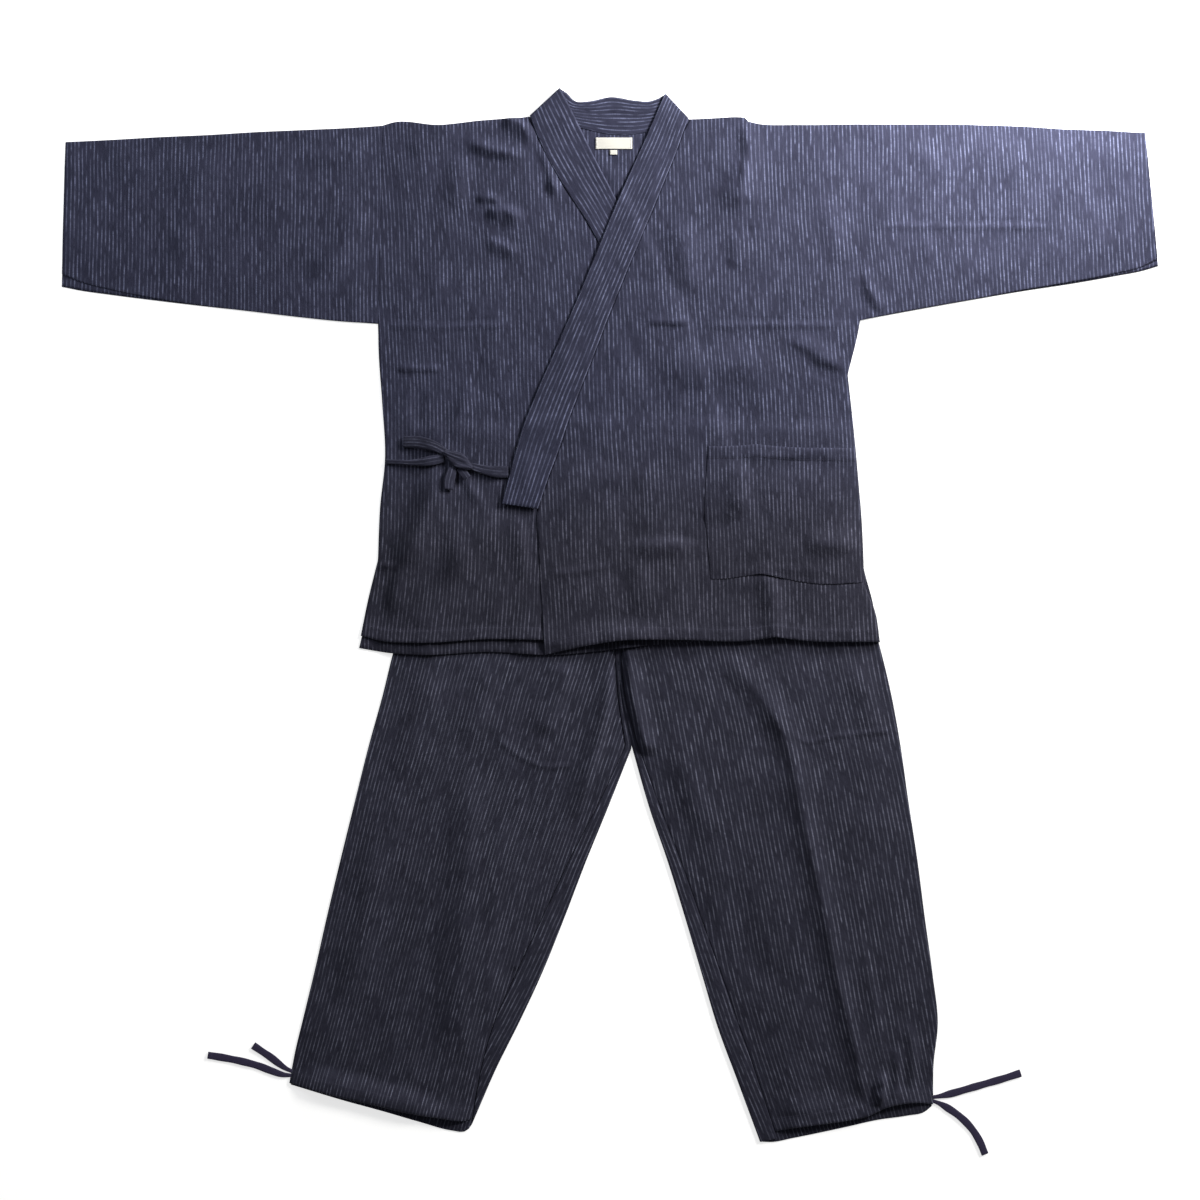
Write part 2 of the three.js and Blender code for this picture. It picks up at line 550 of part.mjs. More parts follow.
function addRightFront() {
  const seam = [COLLAR_FOLD_RIGHT, ...COLLAR_RIGHT.slice().reverse()];
  const left = [...seam.map((row) => ({ x: row.sx - SEAM, y: row.sy })), ...RIGHT_FRONT_EDGE];
  left[0].x -= BAND;
  const top = spread([-318, left[0].x], [12], RIGHT_SHOULDER);
  const bottom = spread([-349, 122], [12], RIGHT_FRONT_HEM);
  const grid = patch({ right: RIGHT_FRONT_SIDE, left, top, bottom });
  addPanel('jacket_front_right', grid, ['jacket_back']);
}

function addLeftFront() {
  const seam = [COLLAR_FOLD_LEFT, ...COLLAR_LEFT];
  const right = [...seam.map((row) => ({ x: row.sx + SEAM, y: row.sy })), ...LEFT_FRONT_EDGE];
  right[0].x += BAND;
  const top = spread([right[0].x, 208, 350], [6, 6], LEFT_SHOULDER);
  const bottom = spread([-91, 160, 378], [6, 6], LEFT_FRONT_HEM);
  const grid = patch({ right, left: LEFT_FRONT_SIDE, top, bottom });
  return addPanel('jacket_front_left', grid, ['jacket_back', 'jacket_front_right', 'collar_under']);
}

// The patch pocket: a part of the left front's own grid, moved out.
function addPocket(front) {
  const { topRow, bottomRow, leftColumn, edge } = POCKET;
  const grid = front.slice(topRow, bottomRow + 1).map((line) => {
    const part = line.slice(leftColumn).map((p) => ({ x: p.x, y: p.y, z: p.z + GAP }));
    part[part.length - 1].x -= edge;
    return part;
  });
  addPiece('pocket', wall(raise(grid, CLOTH), grid));
}

// Three points across the collar at one row of its table.
function acrossCollar(row) {
  return [0, 0.5, 1].map((t) => ({ x: lerp(row.sx, row.fx, t), y: lerp(row.sy, row.fy, t) }));
}

// A shoulder fold of the collar: the outer face stands one wall out of the fold line.
function collarFold(row, outwards, z) {
  const normal = new THREE.Vector2(row.fy - row.sy, row.sx - row.fx).normalize().multiplyScalar(outwards);
  const line = acrossCollar(row);
  return {
    face: line.map((p) => ({ x: p.x + normal.x * BAND, y: p.y + normal.y * BAND, z })),
    back: line.map((p) => ({ x: p.x, y: p.y, z })),
  };
}

// The collar is one band: up the right front, folded over at the shoulder, open round the neck with
// its inner face up, folded again, and down the left front over everything.
function addCollar() {
  const neck = COLLAR_NECK.map(acrossCollar).map((line) => line.map((p) => ({ ...p, z: 0 })));
  record('collar_neck', raise(neck, BAND));
  const under = lay('collar', COLLAR_RIGHT.map(acrossCollar), ['jacket_back', 'collar_neck']);
  record('collar_under', raise(under, BAND));
  return { neck, under };
}

function finishCollar({ neck, under }) {
  const over = lay('collar', COLLAR_LEFT.map(acrossCollar), [
    'jacket_back', 'jacket_front_right', 'collar_under', 'collar_neck',
  ]);
  record('collar_over', raise(over, BAND));
  const turn = BAND + GAP / 2;
  const right = collarFold(COLLAR_FOLD_RIGHT, -1, turn);
  const left = collarFold(COLLAR_FOLD_LEFT, 1, turn);
  const face = [...raise(under, BAND), right.face, ...neck, left.face, ...raise(over, BAND)];
  const back = [...under, right.back, ...raise(neck, BAND), left.back, ...over];
  addPiece('collar', wall(face, back));
}

function addSleeve(name, rows) {
  const sections = rows.map((row) => ({
    start: new THREE.Vector2(row.x, row.top),
    lowerEnd: new THREE.Vector2(row.xl, row.under),
    upperEnd: new THREE.Vector2(lerp(row.x, row.xl, (row.top - row.low) / (row.top - row.under)), row.low),
  }));
  addTube(name, sections, 8, SLEEVE_AIR);
}

// ---- Ties, knot, labels and drawstrings

// A flat strap along a line of points, laid on the named pieces.
function strapGrid(points) {
  return points.map((p, k) => {
    const before = points[Math.max(0, k - 1)];
    const after = points[Math.min(points.length - 1, k + 1)];
    const across = new THREE.Vector2(before.y - after.y, after.x - before.x).normalize().multiplyScalar(p.width / 2);
    return [-1, 0, 1].map((side) => ({ x: p.x + side * across.x, y: p.y + side * across.y }));
  });
}

function addTie() {
  const body = ['jacket_front_right', 'jacket_back'];
  for (const [name, points] of Object.entries(STRAPS)) {
    addPanel(name, strapGrid(points), body);
  }
  const half = { x: KNOT.length / 2, y: KNOT.width / 2 };
  const turns = [-1, -0.55, 0, 0.55, 1];
  const grid = turns.map((v) => turns.map((u) => {
    const round = 1 / Math.max(1, Math.hypot(u, v));
    return { x: KNOT.x + half.x * u * round, y: KNOT.y - half.y * v * round };
  }));
  const base = Math.max(...lay('knot', grid, Object.keys(STRAPS)).flat().map((p) => p.z));
  const flat = grid.map((line) => line.map((p) => ({ ...p, z: base })));
  const top = flat.map((line, row) => line.map((p, column) => {
    const middle = Math.max(0, 1 - Math.hypot(turns[row], turns[column]));
    return { ...p, z: p.z + CLOTH + KNOT.puff * middle };
  }));
  addPiece('knot', wall(top, flat));
}

function addLabel(name, box, over) {
  const edge = (x) => [{ x, y: box.top }, { x, y: box.bottom }];
  const end = (y) => [{ x: box.from, y }, { x: box.to, y }];
  const grid = patch({ right: edge(box.from), left: edge(box.to), top: end(box.top), bottom: end(box.bottom) });
  addPanel(name, grid, over, { thick: LABEL, kind: 'label' });
}

function addDrawstring(name, points) {
  const z = TAPE.thick / 2 + TAPE.rise;
  const route = new THREE.CatmullRomCurve3(points.map(([x, y]) => new THREE.Vector3(x, y, z)));
  const section = new THREE.Shape();
  for (let k = 0; k < TAPE.sides; k += 1) {
    const turn = (2 * Math.PI * (k + 0.5)) / TAPE.sides;
    const widest = Math.cos(Math.PI / TAPE.sides);
    const x = (Math.cos(turn) / widest) * (TAPE.thick / 2);
    const y = (Math.sin(turn) / widest) * (TAPE.width / 2);
    if (k === 0) {
      section.moveTo(x, y);
    } else {
      section.lineTo(x, y);
    }
  }
  const steps = Math.max(5, Math.round(route.getLength() / TAPE.pitch));
  addPiece(name, new THREE.ExtrudeGeometry(section, { steps, extrudePath: route }), 'tape');
}

addTrousers();
const trousers = ['leg_back_right', 'leg_back_left', 'leg_front_right', 'leg_front_left', 'waistband'];
addBack(trousers);
addRightFront();
const collar = addCollar();
const leftFront = addLeftFront();
finishCollar(collar);
addPocket(leftFront);
addSleeve('sleeve_right', RIGHT_SLEEVE);
addSleeve('sleeve_left', LEFT_SLEEVE);
addTie();
addLabel('neck_label', { from: -20, to: 31, top: 668, bottom: 652 }, ['jacket_back']);
addLabel('size_tab', { from: 0, to: 10, top: 650.5, bottom: 644 }, ['jacket_back']);
for (const [name, points] of Object.entries(DRAWSTRINGS)) {
  addDrawstring(name, points);
}

export default suit;
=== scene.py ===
"""A samue laid flat: jacket and trousers of navy cotton with broken white pinstripes.

Everything is worked out in millimetres and turned into metres where a mesh is written. +X points to
the wearer's left, +Y to the neck and +Z up, and the suit lies on z = 0. Each cloth piece is laid on
the height map of the pieces under it, then gets its own folds, hems and seams.
"""

import logging
import math
from dataclasses import dataclass, field
from enum import Enum
from typing import Any, NamedTuple, Protocol, Sequence

import bpy
import numpy as np
from numpy.typing import NDArray
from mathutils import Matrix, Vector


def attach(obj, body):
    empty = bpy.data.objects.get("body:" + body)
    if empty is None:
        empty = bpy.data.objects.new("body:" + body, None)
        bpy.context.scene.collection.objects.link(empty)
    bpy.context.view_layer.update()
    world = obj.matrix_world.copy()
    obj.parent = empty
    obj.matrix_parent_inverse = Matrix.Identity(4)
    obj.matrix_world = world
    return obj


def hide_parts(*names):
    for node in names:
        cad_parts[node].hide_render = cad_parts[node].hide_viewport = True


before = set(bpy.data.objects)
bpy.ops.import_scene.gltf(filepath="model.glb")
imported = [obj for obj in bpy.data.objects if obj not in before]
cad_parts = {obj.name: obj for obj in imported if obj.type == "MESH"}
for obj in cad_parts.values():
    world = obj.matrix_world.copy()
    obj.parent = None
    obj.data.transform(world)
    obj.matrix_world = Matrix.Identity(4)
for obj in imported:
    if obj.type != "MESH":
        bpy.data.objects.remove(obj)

Array = NDArray[np.float64]
Spot = tuple[float, float]
Spots = tuple[Spot, ...]
Colour = tuple[float, float, float]
Socket = bpy.types.NodeSocket
Thing = bpy.types.Object
Finish = bpy.types.Material

MM = 0.001
CLOTH = 1.1  # one layer of cotton
BAND = 2.4  # the collar, cloth folded round a stiffener
REST = 0.25  # air between two layers that lie on each other
SEAM = 0.4  # space between two edges that are sewn side by side
LAP = 0.5  # how far two edges run into each other where light would show between them
RELIEF = 1.6  # how much the rises in the tables of folds are raised
PITCH = 4.2  # spacing of a visible panel's mesh
FINE_PITCH = 3.4  # spacing of a mesh with sharp creases
WIDE_PITCH = 6.5  # spacing of a hidden panel's mesh
HEM = 17.0  # from a hem's edge to its stitches
SAMPLES = 2400  # points that a line is measured with
DOUBLED = 0.7  # what the cloth that is turned in adds to a hem
SUNK = 0.3  # how deep a hem's stitches sink in
ROLL = 4.0  # width of the turn at a folded edge
CROTCH = 5  # row of the leg tables at which the two legs part
TROUSERS = ("leg_back_right", "leg_back_left", "leg_front_right", "leg_front_left", "waistband")

LOG = logging.getLogger("samue")


# ---- tables


class Band(NamedTuple):
    """A row of the collar: its sewn edge and its free edge."""

    sx: float
    sy: float
    fx: float
    fy: float


class SleeveRow(NamedTuple):
    """A section of a sleeve: x at the fold and at the underarm, the fold, and both lower edges."""

    x: float
    xl: float
    top: float
    low: float
    under: float


class LegRow(NamedTuple):
    """A section of a leg: its outer edge, its inner edge and how far the back wraps over."""

    ox: float
    oy: float
    ix: float
    iy: float
    strip: float


RIGHT_SHOULDER = ((-318, 685), (-305, 689), (-238, 686), (-182, 692), (-111, 697))
LEFT_SHOULDER = ((109, 693), (150, 695.5), (184, 696.5), (188, 696), (195, 689.5), (203, 688), (266, 686), (350, 687))
BACK_HEM = ((-353, -46), (-311, -53), (-260, -56), (-168, -52), (-90, -56), (60, -42), (200, -31), (378, -36))
RIGHT_FRONT_HEM = ((-349, -29), (-322, -36), (-266, -39), (-168, -34), (-91, -35), (122, -35))
LEFT_FRONT_HEM = (
    (-91, -56), (-31, -43), (14, -36), (98, -35), (195, -36), (215, -33.5), (230, -31), (245, -33), (260, -35),
    (378, -38),
)

COLLAR_RIGHT = tuple(Band(*row) for row in (
    (129, 148, 179, 155), (103, 228, 151, 247), (76, 306, 124, 325), (48, 382, 96, 401),
    (14, 458, 60, 480), (-20, 529, 24, 553), (-40, 563, 3, 593), (-62, 596, -17, 631),
    (-86, 637, -37, 672), (-104, 676, -57, 713),
))
COLLAR_FOLD_RIGHT = Band(-111, 697, -69, 736)
COLLAR_NECK = tuple(Band(*row) for row in (
    (-98, 694.3, -61, 731), (-72, 689, -48, 719), (-35, 680, -30, 719), (7, 672, 2, 725),
    (49, 675, 35, 720), (75, 682, 55, 719), (98, 689.4, 68, 723),
))
COLLAR_FOLD_LEFT = Band(109, 693, 76, 728)
COLLAR_LEFT = tuple(Band(*row) for row in (
    (102, 675, 67, 707), (94, 652, 52, 672), (78, 612, 33, 630), (55, 556, 8, 574),
    (29, 494, -18, 510), (2, 428, -46, 442), (-29, 347, -78, 368), (-54, 283, -105, 306),
    (-72, 230, -124, 256), (-86, 192, -138, 205), (-101, 148, -151, 155),
))

BACK_RIGHT = (
    (-318, 685), (-319.1, 640), (-320.4, 590), (-321.6, 540), (-323.2, 480), (-324.9, 410), (-323, 340),
    (-318, 280), (-315, 222), (-322, 160), (-325, 77), (-339, 15), (-353, -46),
)
BACK_LEFT = (
    (350, 687), (350, 640), (350, 590), (350, 540), (350, 480), (350, 410), (333, 338), (339, 280),
    (345, 222), (351, 160), (356, 70), (370, 15), (378, -36),
)
RIGHT_FRONT_SIDE = (
    (-318, 685), (-318.6, 661), (-319.5, 625), (-320.5, 585), (-321.4, 550), (-322.3, 515), (-324.2, 440),
    (-324, 370), (-319, 296), (-315, 222), (-322, 150), (-325, 77), (-339, 20), (-349, -29),
)
LEFT_FRONT_SIDE = (
    (350, 687), (350, 668), (350, 648), (350, 604), (350, 550), (350, 488), (350, 412), (333, 336), (339, 282),
    (344, 233), (348, 187), (352, 140), (354.5, 92), (356, 44), (372, 2), (378, -38),
)
RIGHT_FRONT_EDGE = ((128, 88), (125, 25), (122, -35))
LEFT_FRONT_EDGE = ((-99, 95), (-97, 44), (-94, -5), (-91, -56))
ARMHOLE_Y = 405.0  # the fronts are sewn to the sleeves above this height and to the back below it

RIGHT_SLEEVE = tuple(SleeveRow(*row) for row in (
    (-317.4, -324.4, 685, 408, 406), (-362, -366, 682, 410, 409),
    (-428, -428, 679, 416, 415), (-496, -496, 676, 424, 423),
    (-562, -562, 672, 432, 430), (-630, -630, 669, 442, 438),
    (-700, -701, 665, 456, 447), (-740, -743, 663, 467, 453),
    (-762, -767.5, 662, 477, 458),
))
LEFT_SLEEVE = tuple(SleeveRow(*row) for row in (
    (349.4, 349.4, 687, 412, 411), (392, 392, 687, 421, 419),
    (452, 452, 687, 432, 430), (512, 514, 686, 443, 441),
    (574, 578, 684, 455, 452), (638, 644, 680, 466, 462),
    (696, 707, 678, 478, 473), (728, 744, 676, 487, 480),
    (749, 767.5, 675, 498, 487),
))

RIGHT_LEG = tuple(LegRow(*row) for row in (
    (-235, 203, 26, 203, 5), (-258, 110, 22, 110, 5), (-283, 20, 18, 20, 5),
    (-303, -50, 12, -50, 4), (-319, -115, 17, -115, 5), (-337, -180, 31, -184, 9),
    (-359, -268, -3, -270, 16), (-378, -345, -34, -346, 24), (-397, -425, -65, -427, 31),
    (-414, -500, -98, -508, 36), (-429, -562, -128, -572, 34), (-441, -612, -158, -632, 21),
    (-449, -655, -189, -690, 3),
))
LEFT_LEG = tuple(LegRow(*row) for row in (
    (322, 203, 26 - LAP, 203, 5), (340, 110, 22 - LAP, 110, 5), (359, 20, 18 - LAP, 20, 5),
    (378, -45, 12 - LAP, -50, 4), (394, -112, 17 - LAP, -115, 5), (406, -178, 30.4, -184, 9),
    (418, -262, 55, -270, 15), (430, -340, 81, -346, 18), (441, -425, 106, -427, 22),
    (452, -505, 130, -508, 27), (459, -572, 150, -575, 30), (453, -630, 178, -651, 28),
    (452.5, -687, 210, -736, 24),
))


# ---- lines and grids


class Line(Protocol):
    """A line that counts its points: at(t) gives the point at t, up to last."""

    last: float

    def at(self, t: Array) -> Array:
        """Points at t."""


def smooth(value: Array | float) -> Array:
    """A soft step from 0 to 1."""
    t = np.clip(value, 0.0, 1.0)
    return t * t * (3.0 - 2.0 * t)


def travelled(points: Array) -> Array:
    """Distance walked along a line of points, from 0 at the first."""
    return np.concatenate([[0], np.cumsum(np.linalg.norm(np.diff(points, axis=0), axis=1))])


def sideways(points: Array) -> Array:
    """Direction to the right of a flat line at each of its points."""
    heading = np.gradient(points, axis=0)
    heading /= np.linalg.norm(heading, axis=1)[:, None]
    return np.stack([heading[:, 1], -heading[:, 0]], axis=1)


class Spline:
    """A smooth line through the rows of a table, with sharp corners where asked."""

    def __init__(self, rows: Sequence[Sequence[float]], corners: Sequence[int] = ()) -> None:
        """Works out the direction at each row.

        Args:
            rows: The points, with any number of columns.
            corners: The rows at which the line may turn sharply.
        """
        self.rows = np.asarray(rows, float)
        self.last = float(len(self.rows) - 1)
        steps = np.maximum(np.linalg.norm(np.diff(self.rows, axis=0), axis=1), 1e-6)[:, None]
        slopes = np.diff(self.rows, axis=0) / steps
        self.steps = steps
        self.leave = np.vstack([slopes, slopes[-1:]])
        self.arrive = np.vstack([slopes[:1], slopes])
        for k in range(1, len(self.rows) - 1):
            if k not in corners:
                before, after = steps[k - 1, 0], steps[k, 0]
                mixed = (slopes[k - 1] * after + slopes[k] * before) / (before + after)
                self.leave[k] = self.arrive[k] = mixed

    def at(self, t: Array) -> Array:
        """Points at t, which counts the rows.

        Args:
            t: Where on the line, from 0 to last.

        Returns:
            One row of numbers for each t.
        """
        t = np.clip(np.asarray(t, float), 0.0, self.last)
        k = np.minimum(t.astype(int), len(self.rows) - 2)
        u = (t - k)[:, None]
        h = self.steps[k]
        start, end = self.rows[k], self.rows[k + 1]
        return (
            (1 + 2 * u) * (1 - u) ** 2 * start
            + u * (1 - u) ** 2 * h * self.leave[k]
            + u * u * (3 - 2 * u) * end
            + u * u * (u - 1) * h * self.arrive[k + 1]
        )


class Hemline:
    """An edge that is a height over x, with its columns counted between stops."""

    def __init__(self, table: Sequence[Sequence[float]], stops: Sequence[float], counts: Sequence[int]) -> None:
        """Keeps a dense copy of the smooth line.

        Args:
            table: Points (x, y) of the edge, with x rising.
            stops: x at the first column, at each change of spacing and at the last column.
            counts: How many columns lie between one stop and the next.
        """
        line = Spline(table)
        self.dense = line.at(np.linspace(0, line.last, 1200))
        self.stops = np.asarray(stops, float)
        self.marks = np.concatenate([[0], np.cumsum(counts)]).astype(float)
        self.last = float(self.marks[-1])

    def at(self, t: Array) -> Array:
        """Points at t, which counts the columns."""
        x = np.interp(t, self.marks, self.stops)
        return np.stack([x, np.interp(x, self.dense[:, 0], self.dense[:, 1])], axis=1)


class LegHem:
    """A leg's hem: the straight line between its two ends, dropped by its own table."""

    def __init__(self, start: Array, end: Array, drops: Sequence[Sequence[float]], last: float) -> None:
        """Keeps the ends and the table.

        Args:
            start: The end at the wearer's right of the table.
            end: The other end.
            drops: Rows (share of the way, millimetres below the straight line).
            last: How many columns the hem has.
        """
        self.start, self.end = np.asarray(start, float), np.asarray(end, float)
        width = float(np.linalg.norm(self.end - self.start))
        line = Spline([(at * width, drop) for at, drop in drops])
        self.dense = line.at(np.linspace(0, line.last, 400)) / (width, 1.0)
        self.last = last

    def at(self, t: Array) -> Array:
        """Points at t, which counts the columns."""
        share = np.asarray(t, float) / self.last
        points = self.start + (self.end - self.start) * share[:, None]
        points[:, 1] -= np.interp(share, self.dense[:, 0], self.dense[:, 1])
        return points


def stations(lines: Sequence[Line], pitch: float, near: Sequence[float], far: Sequence[float]) -> Array:
    """Cuts lines that are counted alike into even steps, with closer ones near their ends.

    Args:
        lines: The lines, which share their count.
        pitch: The largest step.
        near: Distances from the start that get a station of their own.
        far: Distances from the end that get one.

    Returns:
        The values of t.
    """
    fine = np.linspace(0, lines[0].last, SAMPLES)
    reached = sum(travelled(line.at(fine)) for line in lines) / len(lines)
    anchors = sorted({0.0, *near, *(reached[-1] - d for d in far), reached[-1]})
    marks = [anchors[0]]
    for before, after in zip(anchors, anchors[1:]):
        count = max(1, math.ceil((after - before) / pitch - 0.2))
        marks.extend(before + (after - before) * (k + 1) / count for k in range(count))
    return np.interp(marks, reached, fine)


@dataclass
class Cut:
    """A piece of cloth between four edges. right and left run from the top down, top and bottom
    from the wearer's right to the left."""

    right: Line
    left: Line
    top: Line
    bottom: Line

    def grid(self, rows: Array, columns: Array) -> Array:
        """Points of the piece.

        Args:
            rows: Where on the right and left edges.
            columns: Where on the top and bottom edges.

        Returns:
            An array [row, column, x or y].
        """
        u = (columns / self.top.last)[None, :, None]
        v = (rows / self.right.last)[:, None, None]
        right, left = self.right.at(rows)[:, None], self.left.at(rows)[:, None]
        top, bottom = self.top.at(columns)[None], self.bottom.at(columns)[None]
        first = self.top.at(np.array([0.0, self.top.last]))
        final = self.bottom.at(np.array([0.0, self.bottom.last]))
        corners = (1 - v) * ((1 - u) * first[0] + u * first[1]) + v * ((1 - u) * final[0] + u * final[1])
        return (1 - u) * right + u * left + (1 - v) * top + v * bottom - corners


def walked(grid: Array, axis: int) -> Array:
    """Distance walked over a grid along its rows or columns."""
    steps = np.linalg.norm(np.diff(grid, axis=axis), axis=2)
    start = np.zeros_like(np.take(steps, [0], axis=axis))
    return np.concatenate([start, np.cumsum(steps, axis=axis)], axis=axis)


def with_z(grid: Array, z: Array | float) -> Array:
    """A flat grid with a height at each point."""
    return np.concatenate([grid[..., :2], np.broadcast_to(z, grid.shape[:2])[..., None]], axis=2)


# ---- folds


@dataclass(frozen=True)
class Fold:
    """A soft ridge, or a trough where rise is negative, along a line.

    left and right are the widths of its two sides, seen along the line. sharp is 0 for a round
    crest and 1 for a pressed one. fade is the share of the line over which each end dies out.
    """

    line: Spots
    rise: float
    left: float
    right: float
    sharp: float = 0.0
    fade: float = 0.3

    def height(self, x: Array, y: Array) -> Array:
        """How much the fold lifts the cloth.

        Args:
            x: Where, in millimetres.
            y: Where, in millimetres.

        Returns:
            The height at each point.
        """
        lift = np.zeros_like(x)
        reach = max(self.left, self.right)
        corners = np.asarray(self.line, float)
        low, high = corners.min(axis=0) - reach, corners.max(axis=0) + reach
        near = (x > low[0]) & (x < high[0]) & (y > low[1]) & (y < high[1])
        if not near.any():
            return lift
        spline = Spline(self.line)
        route = spline.at(np.linspace(0, spline.last, 14 * int(spline.last) + 1))
        length = travelled(route)
        px, py = x[near], y[near]
        best = np.full(px.shape, 1e9)
        side = np.zeros(px.shape)
        share = np.zeros(px.shape)
        for k in range(len(route) - 1):
            step = route[k + 1] - route[k]
            size = max(float(step @ step), 1e-9)
            t = np.clip(((px - route[k, 0]) * step[0] + (py - route[k, 1]) * step[1]) / size, 0, 1)
            dx, dy = px - route[k, 0] - t * step[0], py - route[k, 1] - t * step[1]
            away = np.hypot(dx, dy)
            closer = away < best
            best = np.where(closer, away, best)
            side = np.where(closer, step[0] * dy - step[1] * dx, side)
            share = np.where(closer, (length[k] + t * (length[k + 1] - length[k])) / length[-1], share)
        flank = np.clip(1 - best / np.where(side > 0, self.left, self.right), 0, 1)
        shape = (1 - self.sharp) * smooth(flank) + self.sharp * flank**2.2
        ends = smooth(share / self.fade) * smooth((1 - share) / self.fade) if self.fade else 1.0
        lift[near] = RELIEF * self.rise * shape * ends
        return lift


def creases(*rows: Sequence[Any]) -> tuple[Fold, ...]:
    """Folds from rows of their sizes, in the order of Fold."""
    return tuple(Fold(*row) for row in rows)


class Rumple:
    """Small uneven dents that loose cloth always has, the same on every run."""

    CELLS = 128
    LAYERS = ((1.0, 0.65), (2.3, 0.35))  # how fine each layer of dents is, and its share of the depth

    def __init__(self, seed: int, size: float, depth: float) -> None:
        """Draws the lattice.

        Args:
            seed: Number of the drawing.
            size: Width of a dent.
            depth: Its largest height.
        """
        self.size, self.depth = size, depth
        self.lattice = np.random.default_rng(seed).uniform(-1, 1, (self.CELLS, self.CELLS))

    def height(self, x: Array, y: Array) -> Array:
        """Height at each point, between -depth and depth."""
        total = np.zeros_like(x)
        for fine, share in self.LAYERS:
            u, v = x * fine / self.size + 31.7, y * fine / self.size + 17.3
            i, j = np.floor(u).astype(int) % self.CELLS, np.floor(v).astype(int) % self.CELLS
            s, t = smooth(u - np.floor(u)), smooth(v - np.floor(v))
            after, below = (j + 1) % self.CELLS, (i + 1) % self.CELLS
            low = (1 - t) * self.lattice[i, j] + t * self.lattice[i, after]
            high = (1 - t) * self.lattice[below, j] + t * self.lattice[below, after]
            total += share * ((1 - s) * low + s * high)
        return total * self.depth


def relief(parts: Sequence[Fold | Rumple], x: Array, y: Array) -> Array:
    """Height of some folds and dents together.

    Args:
        parts: The folds and dents.
        x: Where, in millimetres.
        y: Where, in millimetres.

    Returns:
        Their sum at each point.
    """
    return sum((part.height(x, y) for part in parts), np.zeros_like(x))


class Pile:
    """Height maps of the cloth that is laid already, one for each piece."""

    CELL = 3.0
    HALF = 810.0

    def __init__(self) -> None:
        """Starts with nothing laid."""
        self.maps: dict[str, Array] = {}
        self.side = int(2 * self.HALF / self.CELL)

    def record(self, name: str, top: Array) -> None:
        """Keeps the top of a piece.

        Args:
            name: The piece.
            top: Its upper surface as a grid of points.
        """
        heights = self.maps.setdefault(name, np.zeros((self.side, self.side)))
        for part in (0.0, 1 / 3, 2 / 3, 1.0):
            rows = top[:-1] * (1 - part) + top[1:] * part
            for share in (0.0, 1 / 3, 2 / 3, 1.0):
                points = (rows[:, :-1] * (1 - share) + rows[:, 1:] * share).reshape(-1, 3)
                cells = np.clip(((points[:, :2] + self.HALF) / self.CELL).astype(int), 0, self.side - 1)
                np.maximum.at(heights, (cells[:, 1], cells[:, 0]), points[:, 2])

    def support(self, names: Sequence[str], grid: Array, reach: int = 3) -> Array:
        """What a panel rests on: the pile with its steps bridged, as cloth bridges them.

        Args:
            names: The pieces underneath.
            grid: The panel's points.
            reach: How many cells before a step the cloth starts to rise.

        Returns:
            The height under each point.
        """
        heights = np.zeros((self.side, self.side))
        for name in names:
            heights = np.maximum(heights, self.maps[name])
        for axis in (0, 1):
            shifted = [np.roll(heights, k, axis=axis) for k in range(-reach, reach + 1)]
            heights = np.maximum.reduce(shifted)
        for axis in (0, 1, 0, 1):
            window = reach // 2 if reach > 1 else reach
            heights = sum(np.roll(heights, k, axis=axis) for k in range(-window, window + 1)) / (2 * window + 1)
        u = np.clip((grid[..., 0] + self.HALF) / self.CELL - 0.5, 0, self.side - 2)
        v = np.clip((grid[..., 1] + self.HALF) / self.CELL - 0.5, 0, self.side - 2)
        i, j = u.astype(int), v.astype(int)
        s, t = u - i, v - j
        low = (1 - s) * heights[j, i] + s * heights[j, i + 1]
        high = (1 - s) * heights[j + 1, i] + s * heights[j + 1, i + 1]
        return (1 - t) * low + t * high


# ---- panels


class Edge(Enum):
    """How a panel ends on one of its sides."""

    HEM = "hem"  # free, doubled over and stitched
    SEAM = "seam"  # sewn to a piece beside it
    FOLD = "fold"  # rolls down on to the layer below
    TACKED = "tacked"  # sewn down flat on to another panel


MARKS = {
    Edge.HEM: (0.7, HEM - 1.0, HEM, HEM + 1.6),
    Edge.SEAM: (0.7, 2.4),
    Edge.FOLD: (0.25, 0.9, 2.0, ROLL),
    Edge.TACKED: (0.7, 2.4),
}


SETTLE = {Edge.HEM: 55.0, Edge.SEAM: 60.0, Edge.FOLD: 60.0, Edge.TACKED: 40.0}  # from an edge to the full loft
HEM_LOFT = 0.35  # share of the loft that is left at a hem
GAPE = 34.0  # how far into the cloth the open mouth of a hem reaches
PINNED = 0.15  # share of a fold's height that is left at a seam
FINE_DENTS = (50, 0.33, 0.28)  # step of the seed, and the share of size and depth, for the finer dents
SEAM_SINK = (0.45, 2.6, 2.0)  # how deep a seam pulls the cloth down, how far in, and how steeply
PRESSED_SINK = (0.85, 26.0)
TACKED_SINK = (0.75, 12.0)


@dataclass(frozen=True)
class Edges:
    """The four sides of a panel. Above armhole, a folded side is a plain seam."""

    right: Edge
    left: Edge
    top: Edge
    bottom: Edge
    armhole: float = 1e6


@dataclass
class Sheet:
    """A finished cloth piece: its outer and inner faces, and where each point lies in the weave."""

    outer: Array
    inner: Array
    weave: Array


@dataclass(frozen=True)
class Drape:
    """How a panel lies: what it rests on, its air, its folds and its small dents."""

    over: tuple[str, ...] = ()
    loft: float = 1.6
    folds: tuple[Fold, ...] = ()
    seed: int = 1
    dents: float = 0.55
    dent_size: float = 38.0
    thick: float = CLOTH
    mouth: float = 0.0  # how far the hem at the bottom gapes
    grip: float = 16.0  # how far from a seam the folds reach their full height
    reach: int = 3  # how far ahead the cloth rises to a step, in cells of the pile
    thin_below: float = -1e6  # below this height the seamed sides are pressed thin


